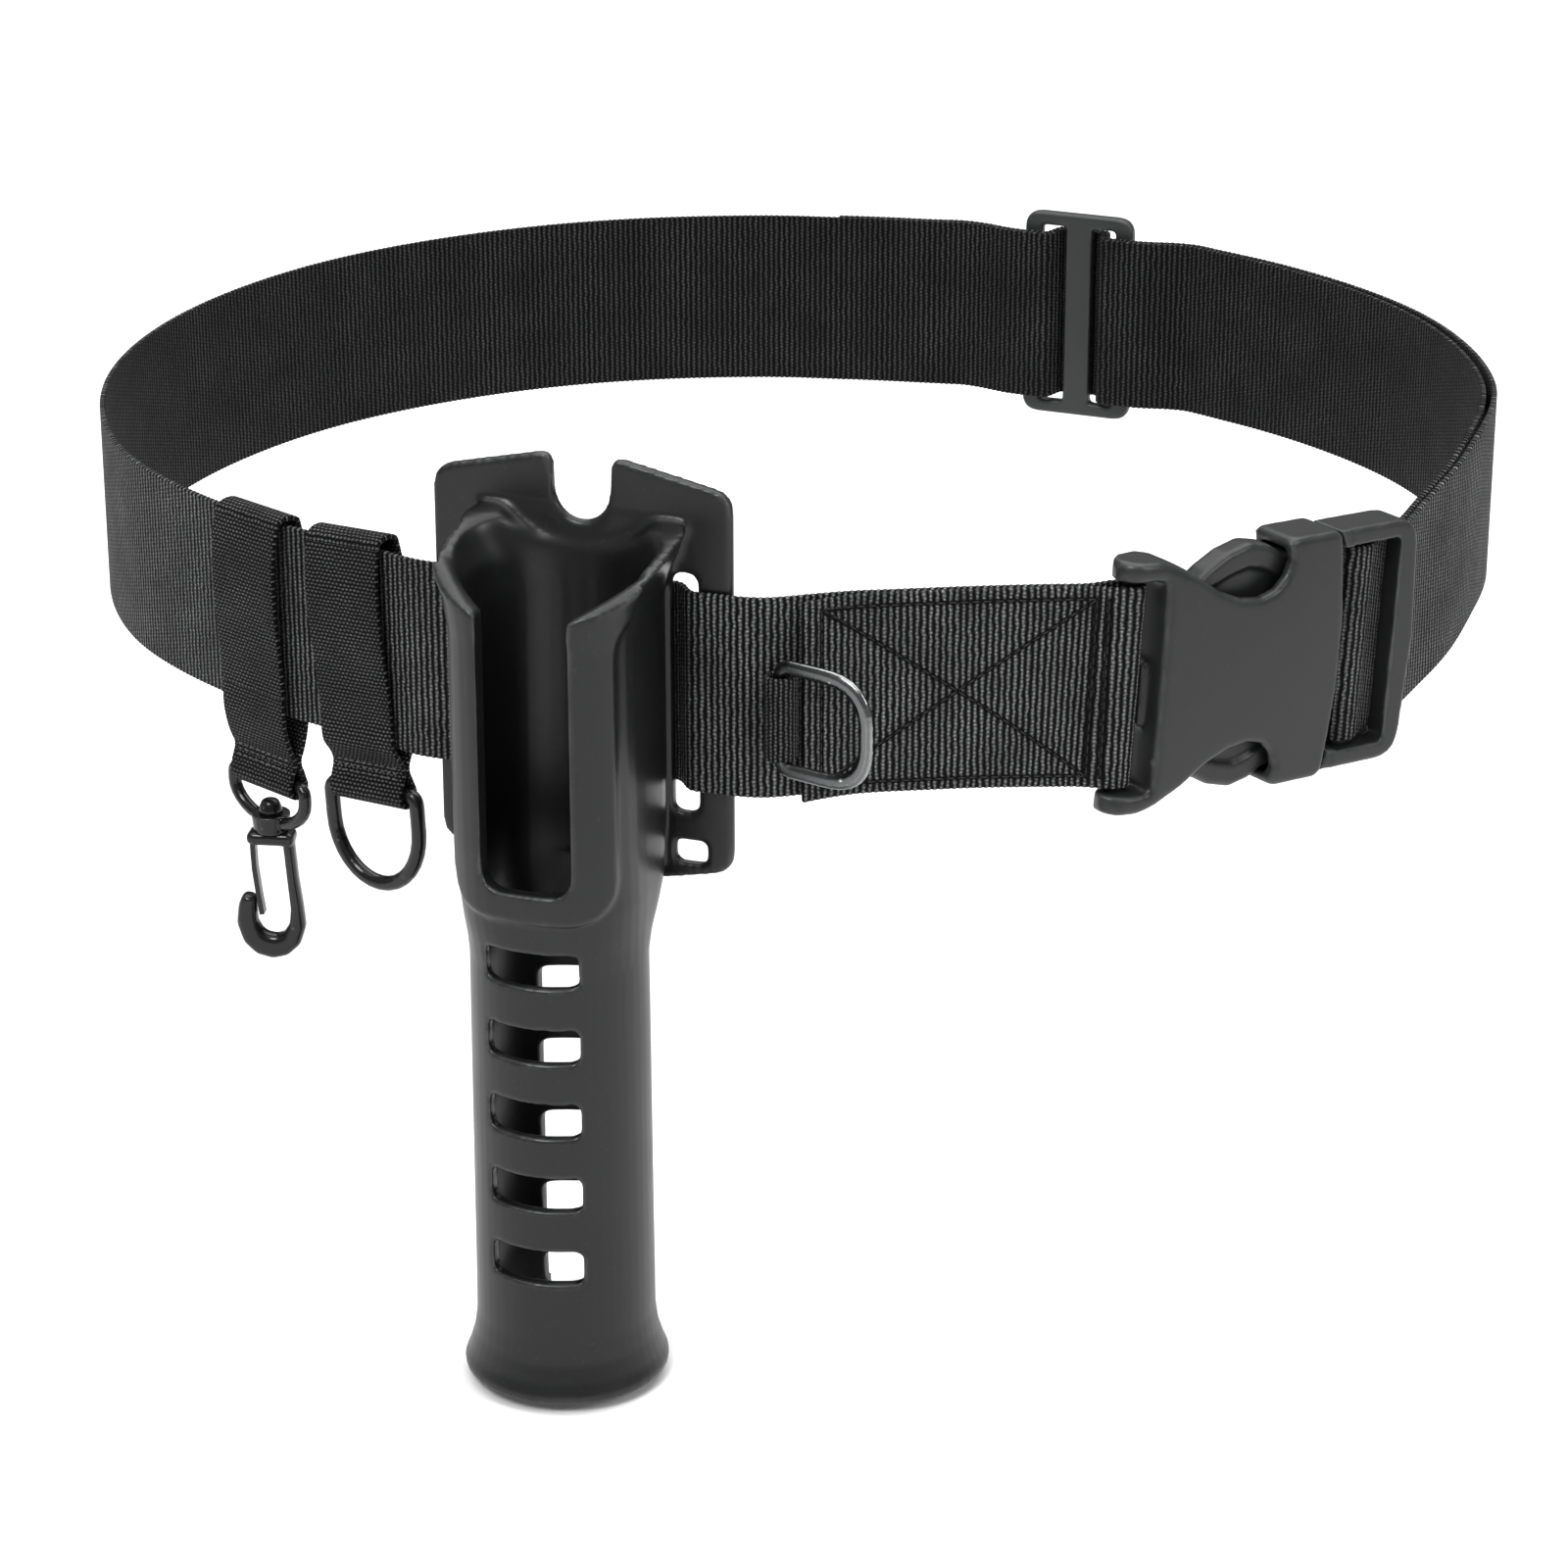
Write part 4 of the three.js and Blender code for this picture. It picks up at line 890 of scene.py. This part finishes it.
@dataclass
class Webbing:
    """A flat band of webbing laid along the sections of its CAD solid."""

    name: str
    path: BandPath
    finish: WebbingFinish
    segments: int = 10
    tooth: float = 0.22 * MM
    rib_height: float = 0.05 * MM
    edge_round: float = 0.4 * MM
    sag: float = 0.0
    sag_run: float = 22.0 * MM

    def build(self) -> bpy.types.Object:
        """Lay a flat grid along the path, then give it its thickness and rounded edges.

        Returns:
            The band as a closed mesh with its cloth map.
        """
        length = self.path.places()[-1]
        count = int(round(2 * length / self.finish.rib_pitch))
        count += count % 2
        bpy.ops.mesh.primitive_grid_add(x_subdivisions=count, y_subdivisions=self.segments, size=1.0)
        piece = bpy.context.object
        piece.name = self.name
        flat = corner_array(piece)
        step = np.round((flat[:, 0] + 0.5) * count).astype(int)
        side = flat[:, 1]
        along = np.linspace(0.0, length, count + 1)
        middles, edges, outs = self.path.at(along)
        droop = self.sag * np.clip(1 - along / self.sag_run, 0.0, 1.0) ** 2
        middles = middles - edges * droop[:, None]
        rising = np.where(np.arange(count + 1) % 2 == 0, -1.0, 1.0)
        half = self.path.width / 2 - self.tooth / 2
        reach = 2 * side * half
        on_rim = np.isclose(np.abs(side), 0.5)
        teeth = np.where(on_rim, np.sign(side) * rising[step] * self.tooth / 2, 0.0)
        corners = middles[step] + edges[step] * (reach + teeth)[:, None]
        set_corners(piece, corners)
        self.write_cloth_map(piece, along[step], reach)
        if self.path.closed:
            edit_all(piece, bpy.ops.mesh.remove_doubles, threshold=0.01 * MM)
        self.face_out(piece, middles, outs)
        thick = self.path.thick - 2 * self.rib_height
        apply_modifier(piece, "SOLIDIFY", thickness=thick, offset=0.0, use_even_offset=True)
        corner = {"limit_method": "ANGLE", "angle_limit": math.radians(55)}
        apply_modifier(piece, "BEVEL", width=self.edge_round, segments=2, **corner)
        piece.data.shade_smooth()
        dress(piece, self.finish.material())
        return piece

    @staticmethod
    def write_cloth_map(piece: bpy.types.Object, along: np.ndarray, across: np.ndarray) -> None:
        """Write each corner's distances along and across the band as its cloth map."""
        layer = piece.data.uv_layers[0] if piece.data.uv_layers else piece.data.uv_layers.new()
        layer.name = CLOTH_MAP
        corners = np.empty(len(piece.data.loops), int)
        piece.data.loops.foreach_get("vertex_index", corners)
        places = np.column_stack([along, across])[corners]
        layer.data.foreach_set("uv", places.astype(np.float32).ravel())

    @staticmethod
    def face_out(piece: bpy.types.Object, middles: np.ndarray, outs: np.ndarray) -> None:
        """Turn the flat grid's faces to the band's outer side if they look the other way."""
        face = piece.data.polygons[len(piece.data.polygons) // 2]
        centre = np.array(face.center)
        nearest = int(np.argmin(np.linalg.norm(middles - centre, axis=1)))
        if float(np.dot(np.array(face.normal), outs[nearest])) < 0:
            edit_all(piece, bpy.ops.mesh.flip_normals)


@dataclass
class Stitching:
    """Rows of stitches on a band, each stitch a short bead of thread."""

    name: str
    finish: ThreadFinish
    pitch: float = 2.6 * MM
    gap: float = 0.5 * MM
    radius: float = 0.24 * MM

    def build(self, path: BandPath, lines: list[tuple[Pair, Pair]]) -> bpy.types.Object:
        """Sew straight rows between pairs of places on a band.

        Args:
            path: the band.
            lines: pairs of (along, across) ends in metres.

        Returns:
            All stitches as one mesh.
        """
        bpy.ops.mesh.primitive_uv_sphere_add(segments=8, ring_count=6, radius=1.0)
        piece = bpy.context.object
        piece.name = self.name
        pattern = corner_array(piece)
        faces = [tuple(face.vertices) for face in piece.data.polygons]
        corners: list[np.ndarray] = []
        joined: list[tuple[int, ...]] = []
        for start, end in lines:
            run = math.hypot(end[0] - start[0], end[1] - start[1])
            count = max(1, int(run / self.pitch))
            middles = (np.arange(count) + 0.5) / count
            half = (run / count - self.gap) / 2 / run
            for share in middles:
                ends = np.array([share - half, share, share + half])
                along = start[0] + (end[0] - start[0]) * ends
                across = start[1] + (end[1] - start[1]) * ends
                spots = path.spot(along, across)
                length = spots[2] - spots[0]
                out = path.at(along[1:2])[2][0]
                side = unit(np.cross(length, out))
                bead = (
                    spots[1]
                    + pattern[:, :1] * length / 2
                    + pattern[:, 1:2] * side * self.radius
                    + pattern[:, 2:] * out * self.radius
                )
                shift = len(corners) * len(pattern)
                joined.extend(tuple(k + shift for k in face) for face in faces)
                corners.append(bead)
        mesh = bpy.data.meshes.new(self.name)
        mesh.from_pydata(np.vstack(corners).tolist(), [], joined)
        piece.data = mesh
        edit_all(piece, bpy.ops.mesh.normals_make_consistent, inside=False)
        piece.data.shade_smooth()
        dress(piece, self.finish.material())
        return piece


# Sub-assemblies


@dataclass
class WaistStrap:
    """The 50 mm strap with the boxed cross that sews down its folded end."""

    nodes: dict[str, bpy.types.Object]
    box_start: float = 4.5 * MM
    box_end: float = 69.0 * MM
    box_top: float = 22.0 * MM
    box_foot: float = -22.0 * MM
    second_row: float = 3.2 * MM
    sag: float = 1.3 * MM

    def build(self) -> None:
        """Build the strap and its stitches."""
        path = BandPath.read(self.nodes["waist_strap"], UP, closed=False)
        path = self.from_folded_end(path)
        seam = (self.box_start, self.box_end, self.box_top, self.second_row)
        # painted shade: the rib highlight is cut to 0.3 on the side facing the waist
        finish = WebbingFinish("belt_webbing", seam=seam, waist_side_highlight=0.3)
        webbing = Webbing("strap_webbing", path, finish, sag=self.sag)
        finished(webbing.build(), Slot.WEBBING, BODY, "waist_strap")
        low, high, top, foot = self.box_start, self.box_end, self.box_top, self.box_foot
        corners = [(low, top), (high, top), (high, foot), (low, foot)]
        lines = [(corners[k], corners[(k + 1) % 4]) for k in range(4)]
        lines += [(corners[0], corners[2]), (corners[3], corners[1])]
        second = high + self.second_row
        lines.append(((second, top), (second, foot)))
        stitches = Stitching("strap_stitches", ThreadFinish("belt_thread"))
        finished(stitches.build(path, lines), Slot.WEBBING, BODY)

    @staticmethod
    def from_folded_end(path: BandPath) -> BandPath:
        """Start the path at its front end, the folded one, with its face away from the waist."""
        if path.middles[0][1] > path.middles[-1][1]:
            path.middles = path.middles[::-1].copy()
            path.edges = path.edges[::-1].copy()
            path.outs = path.outs[::-1].copy()
        away = path.middles[0] * np.array([1.0, 1.0, 0.0])
        if float(path.outs[0] @ away) < 0:
            path.outs = -path.outs
        return path


@dataclass
class Hanger:
    """A webbing loop over the belt, sewn through above the bar that it carries."""

    nodes: dict[str, bpy.types.Object]
    node: str
    across: np.ndarray
    bar: np.ndarray
    rows: tuple[float, ...] = (4.4 * MM, 5.9 * MM, 7.4 * MM)
    inset: float = 1.6 * MM
    steps: int = 600

    def build(self) -> None:
        """Build the loop and its stitch rows on both faces."""
        path = BandPath.read(self.nodes[self.node], self.across, closed=True)
        weave = {"rib_pitch": 0.95 * MM, "bead_pitch": 1.2 * MM, "bead_depth": 0.95}
        # light is the grey of the painted rib highlight
        finish = WebbingFinish(self.node + "_webbing", **weave, light=0.3, bump=0.25 * MM)
        rim = {"tooth": 0.12 * MM, "edge_round": 0.35 * MM}
        webbing = Webbing(self.node + "_cloth", path, finish, segments=8, **rim)
        finished(webbing.build(), Slot.WEBBING, BODY, self.node)
        half = path.width / 2 - self.inset
        places = [place for height in self.rows for place in self.crossings(path, height)]
        lines = [((place, -half), (place, half)) for place in places]
        thread = ThreadFinish(self.node + "_thread", 0.03, 0.16)
        stitches = Stitching(self.node + "_stitches", thread, pitch=1.9 * MM, radius=0.3 * MM)
        finished(stitches.build(path, lines), Slot.WEBBING, BODY)

    def crossings(self, path: BandPath, height: float) -> list[float]:
        """Places along the loop that lie at a height over the bar."""
        places = np.linspace(0.0, path.places()[-1], self.steps, endpoint=False)
        above = path.at(places)[0][:, 2] - self.bar[2] - height
        turns = np.nonzero(np.sign(above) != np.sign(np.roll(above, -1)))[0]
        return [float(places[k]) for k in turns]


@dataclass
class SideRing:
    """The metal D-ring and the webbing tab that holds it."""

    nodes: dict[str, bpy.types.Object]
    place: Place = Place((-5.299, -171.569, -3.0), (0.81926, -0.57342, 0.0))
    bow_centre_mm: float = 12.0
    squareness: float = 2.7

    def build(self) -> None:
        """Build the ring and its tab."""
        path = BandPath.read(self.nodes["side_ring_tab"], UP, closed=False)
        weave = {"rib_pitch": 1.1 * MM, "bead_pitch": 0.95 * MM, "bead_depth": 0.7}
        # light is the grey of the painted rib highlight
        finish = WebbingFinish("tab_webbing", **weave, light=0.3)
        tab = Webbing("tab_cloth", path, finish, segments=8, edge_round=0.25 * MM)
        finished(tab.build(), Slot.WEBBING, BODY, "side_ring_tab")
        ring = merged_copy(self.nodes["side_ring"], "side_d_ring")
        mould = Mould(0.26, 8, 0.08)
        mould.press(ring)
        self.square_up(ring)
        mould.trim(ring)
        dress(ring, MetalFinish("gunmetal_plate").material())
        finished(ring, Slot.METAL, "side_ring", "side_ring")

    def square_up(self, ring: bpy.types.Object) -> None:
        """Press the ring's round bow a little toward a square one."""
        local = self.place.inward(corner_array(ring))
        centre, power = self.bow_centre_mm, self.squareness
        reach = np.hypot(local[:, 0] - centre, local[:, 2])
        turn = np.arctan2(local[:, 2], local[:, 0] - centre)
        grow = (np.abs(np.cos(turn)) ** power + np.abs(np.sin(turn)) ** power) ** (-1 / power)
        bow = local[:, 0] > centre
        local[bow, 0] = centre + (reach * grow * np.cos(turn))[bow]
        local[bow, 2] = (reach * grow * np.sin(turn))[bow]
        set_corners(ring, self.place.outward(local))


@dataclass
class RodHolder:
    """The moulded rod holder: plate, cup with its window, slotted tube and flared foot.

    Every size is in millimetres in the holder's own frame. A funnel corner is its x and z,
    and an oval is its middle's height and its half sizes across and up.
    """

    nodes: dict[str, bpy.types.Object]
    place: Place = Place((-50.318, -149.344, 0.0), (0.94886, -0.31569, 0.0))
    plate_front: float = -4.6
    front: float = -60.0
    axis: float = -23.0
    notch_front: float = -5.6
    notch_back: float = 3.0
    vents_back: float = 10.0
    funnel_back: float = -27.0
    funnel_side: tuple[Pair, ...] = ((11.0, 28.4), (19.0, 32.8), (26.0, 37.0), (30.0, 60.0))
    dip: Triple = (51.0, 23.0, 17.5)
    notch: Triple = (46.2, 7.0, 7.0)
    oval_corners: int = 48
    slot_half: float = 11.4
    slot_rise: float = 5.6
    first_back_slot: float = -80.8
    slot_pitch: float = 19.4
    slot_count: int = 5
    bowl_side: Fade = Fade(30.0, -8.0)
    bowl_foot: Fade = Fade(24.0, 8.0)
    bowl_depth: Fade = Fade(-20.0, 5.0)
    bowl_top: Fade = Fade(43.0, -3.0)
    bowl_rounds: int = 70
    lip_foot: Fade = Fade(25.0, 3.0)
    lip_depth: Fade = Fade(-12.0, -4.0)
    lip_rounds: int = 12

    def build(self) -> None:
        """Build the holder from its node, with the funnel mouth and the vents cut through."""
        piece = merged_copy(self.nodes["rod_holder"], "rod_holder_shell")
        self.open_mouth(piece)
        self.open_vents(piece)
        mould = Mould(0.65, 8)
        mould.press(piece)
        self.blend_bowl(piece)
        mould.trim(piece)
        dress(piece, PlasticFinish("holder_plastic", roughness=0.33).material())
        finished(piece, Slot.PLASTIC, BODY, "rod_holder")

    def open_mouth(self, piece: bpy.types.Object) -> None:
        """Cut the funnel's straight sides, the dip in the cup's back rim and the notch."""
        funnel = list(self.funnel_side) + [(-x, z) for x, z in reversed(self.funnel_side)]
        cut_from(piece, self.place.prism(funnel, self.front, self.funnel_back))
        cut_from(piece, self.place.prism(self.oval(*self.dip), self.axis, self.plate_front))
        notch = self.oval(*self.notch)
        cut_from(piece, self.place.prism(notch, self.notch_front, self.notch_back))

    def oval(self, middle: float, half: float, rise: float) -> list[Pair]:
        """Return the corners of an oval about a height on the holder's middle line."""
        angles = np.linspace(0.0, 2 * math.pi, self.oval_corners, endpoint=False)
        return [(half * math.cos(a), middle + rise * math.sin(a)) for a in angles]

    def open_vents(self, piece: bpy.types.Object) -> None:
        """Cut the back vents tall enough to see through from the front."""
        for row in range(self.slot_count):
            middle = self.first_back_slot - row * self.slot_pitch
            low, high = middle - self.slot_rise, middle + self.slot_rise
            side = self.slot_half
            box = [(-side, low), (side, low), (side, high), (-side, high)]
            cut_from(piece, self.place.prism(box, self.axis, self.vents_back))

    def blend_bowl(self, piece: bpy.types.Object) -> None:
        """Melt the cup's back rim into the plate under the notch and soften its lip."""
        side, depth, height = self.place.inward(corner_array(piece)).T
        rim = self.bowl_side.of(np.abs(side)) * self.bowl_foot.of(height)
        rim = rim * (self.bowl_depth.of(depth) * (depth < 0.0)) * self.bowl_top.of(height)
        relax(piece, rim, self.bowl_rounds)
        relax(piece, self.lip_foot.of(height) * self.lip_depth.of(depth), self.lip_rounds)


@dataclass
class SideReleaseBuckle:
    """The fastened side-release buckle: housing, and frame with its prongs.

    Every size is in millimetres in the buckle's own frame. The web's corners are shares of
    the length and of the half height, and the shoulder's are x and z.
    """

    nodes: dict[str, bpy.types.Object]
    place: Place = Place(
        (75.269, -154.292, -1.5), (0.80302, 0.59226, -0.06627), (0.05334, 0.03934, 0.99780)
    )
    length: float = 95.0
    bar_inset: float = 5.5
    half_height: float = 31.5
    web: tuple[Pair, ...] = (
        (0.568, 0.73), (0.516, 0.77), (0.474, 0.83), (0.421, 0.86), (0.358, 0.82), (0.295, 0.74),
        (0.25, 0.65), (0.25, 0.3), (0.568, 0.3),
    )
    web_half_depth: float = 2.3
    shoulder_corners: tuple[Pair, ...] = (
        (61.6, 30.6), (62.9, 28.6), (64.1, 25.8), (66.5, 25.8), (66.5, 30.6),
    )
    shoulder_half_depth: float = 5.4
    roll_end: Fade = Fade(15.0, -5.0)
    roll_depth: Fade = Fade(-1.0, -3.0)
    roll_rounds: int = 60
    crown_rise: float = 1.1
    crown_middle: float = 30.0
    crown_half: float = 38.0
    crown_depth: Fade = Fade(-3.5, -3.0)

    def build(self) -> None:
        """Build both halves."""
        greys = {"base": 0.014, "lighter": 0.02}
        skin = PlasticFinish("buckle_plastic", **greys, roughness=0.38, sharpness=0.53).material()
        housing = merged_copy(self.nodes["buckle_female"], "buckle_housing")
        mould = Mould(0.5, 26)
        mould.press(housing)
        self.roll_edge(housing)
        self.crown_face(housing)
        mould.trim(housing)
        frame = merged_copy(self.nodes["buckle_male"], "buckle_frame")
        for side in (1.0, -1.0):
            join_to(frame, self.prong_web(side))
            join_to(frame, self.shoulder(side))
        mould = Mould(0.45, 12)
        mould.press(frame)
        mould.trim(frame)
        for piece, node in ((housing, "buckle_female"), (frame, "buckle_male")):
            dress(piece, skin)
            finished(piece, Slot.PLASTIC, BODY, node)

    def spot(self, along: float, half: float, side: float) -> Pair:
        """Return x and z of a place given in shares of the length and the half height."""
        return along * self.length - self.bar_inset, side * half * self.half_height

    def prong_web(self, side: float) -> bpy.types.Object:
        """Return the flat web that fills the bow of one prong."""
        outline = [self.spot(along, half, side) for along, half in self.web]
        return self.place.prism(outline, -self.web_half_depth, self.web_half_depth)

    def shoulder(self, side: float) -> bpy.types.Object:
        """Return the part of the frame's end that follows the housing's mouth."""
        outline = [(x, side * z) for x, z in self.shoulder_corners]
        return self.place.prism(outline, -self.shoulder_half_depth, self.shoulder_half_depth)

    def roll_edge(self, piece: bpy.types.Object) -> None:
        """Round the housing's edge beside the strap into a roll."""
        along, depth, _ = self.place.inward(corner_array(piece)).T
        relax(piece, self.roll_end.of(along) * self.roll_depth.of(depth), self.roll_rounds)

    def crown_face(self, piece: bpy.types.Object) -> None:
        """Give the housing's front face a slight crown, proudest at its middle."""
        local = self.place.inward(corner_array(piece))
        over = 1.0 - (local[:, 2] / self.half_height) ** 2
        ends = 1.0 - ((local[:, 0] - self.crown_middle) / self.crown_half) ** 2
        front = self.crown_depth.of(local[:, 1])
        local[:, 1] -= self.crown_rise * np.clip(over, 0.0, 1.0) * np.clip(ends, 0.0, 1.0) * front
        set_corners(piece, self.place.outward(local))


@dataclass
class Fittings:
    """The slider, the rings and the snap hook."""

    nodes: dict[str, bpy.types.Object]

    def build(self) -> None:
        """Build each fitting with its own skin."""
        glossy = PlasticFinish("fitting_plastic", base=0.004, lighter=0.007, roughness=0.22).material()
        satin = PlasticFinish("slider_plastic", base=0.03, lighter=0.042, roughness=0.4).material()
        rows = (
            ("slider", "slider_plate", Mould(0.38, 8), satin, BODY),
            ("hanging_ring", "hanging_d_ring", Mould(0.3, 30, 0.2), glossy, "hanging_ring"),
            ("hook_eye", "swivel_eye", Mould(0.22, 10, 0.08), glossy, "hook_eye"),
            ("snap_hook", "hook_shape", Mould(0.24, 80, 0.42), glossy, "snap_hook"),
            ("hook_gate", "gate_leaf", Mould(0.16, 5), glossy, "hook_gate"),
        )
        for node, name, mould, skin, body in rows:
            piece = merged_copy(self.nodes[node], name)
            mould.press(piece)
            mould.trim(piece)
            dress(piece, skin)
            finished(piece, Slot.PLASTIC, body, node)


@dataclass
class Stage:
    """Pale floor, soft studio light and the camera at the photograph's angle."""

    camera_place: Triple = (-0.00436, -1.189, 0.39696)
    pitch_down: float = math.radians(22.275)
    lens_mm: float = 108.0
    sensor_mm: float = 36.0
    nearest: float = 0.01
    gamma: float = 0.88
    floor_height: float = -0.1745
    floor_size: float = 12.0
    floor_back: float = 1.5
    sky_strength: float = 0.42
    aim: Triple = (0.0, 0.0, -0.02)
    lights: tuple[tuple[str, Triple, float, float], ...] = (
        ("key", (-0.6, -1.2, 1.3), 0.6, 18.0),
        ("fill", (1.3, -0.9, 0.9), 0.6, 8.0),
        ("top", (0.1, 0.3, 1.6), 2.2, 40.0),
    )

    def build(self) -> None:
        """Build the floor, the lights, the world and the camera."""
        scene = bpy.context.scene
        scene.view_settings.view_transform = "Standard"
        scene.view_settings.gamma = self.gamma
        data = bpy.data.cameras.new("photo_camera")
        data.lens = self.lens_mm
        data.sensor_width = self.sensor_mm
        data.clip_start = self.nearest
        camera = bpy.data.objects.new("photo_camera", data)
        camera.location = self.camera_place
        camera.rotation_euler = (math.pi / 2 - self.pitch_down, 0.0, 0.0)
        scene.collection.objects.link(camera)
        scene.camera = camera
        middle = (0.0, self.floor_back, self.floor_height)
        bpy.ops.mesh.primitive_plane_add(size=self.floor_size, location=middle)
        floor = bpy.context.object
        floor.name = "floor"
        paint = {"Base Color": grey(0.93), "Roughness": 0.9, "Specular IOR Level": 0.0}
        dress(floor, Skin("floor_paint").fit(paint))
        world = bpy.data.worlds.new("studio")
        world.use_nodes = True
        sky = world.node_tree.nodes["Background"].inputs
        sky["Color"].default_value = grey(1.0)
        sky["Strength"].default_value = self.sky_strength
        scene.world = world
        for light in self.lights:
            self.light(*light)

    def light(self, name: str, place: Triple, size: float, power: float) -> None:
        """Add one soft square light that faces the belt."""
        data = bpy.data.lights.new(name, "AREA")
        data.size = size
        data.energy = power
        lamp = bpy.data.objects.new(name, data)
        lamp.location = place
        ahead = Vector(self.aim) - Vector(place)
        lamp.rotation_euler = ahead.to_track_quat("-Z", "Y").to_euler()
        bpy.context.scene.collection.objects.link(lamp)


def joint_named(frame: dict, name: str) -> dict:
    """Return one joint of the record by its name."""
    return next(joint for joint in frame["joints"] if joint["name"] == name)


def main() -> None:
    """Build every sub-assembly in order."""
    logging.basicConfig(level=logging.INFO, format="%(message)s")
    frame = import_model()
    nodes = frame["nodes"]
    Stage().build()
    WaistStrap(nodes).build()
    for node, joint_name in (("ring_hanger", "hanging_ring_swing"), ("hook_hanger", "hook_eye_swing")):
        joint = joint_named(frame, joint_name)
        Hanger(nodes, node, np.array(joint["axis"]), np.array(joint["pos_m"])).build()
    SideRing(nodes).build()
    RodHolder(nodes).build()
    SideReleaseBuckle(nodes).build()
    Fittings(nodes).build()


if __name__ == "__main__":
    main()
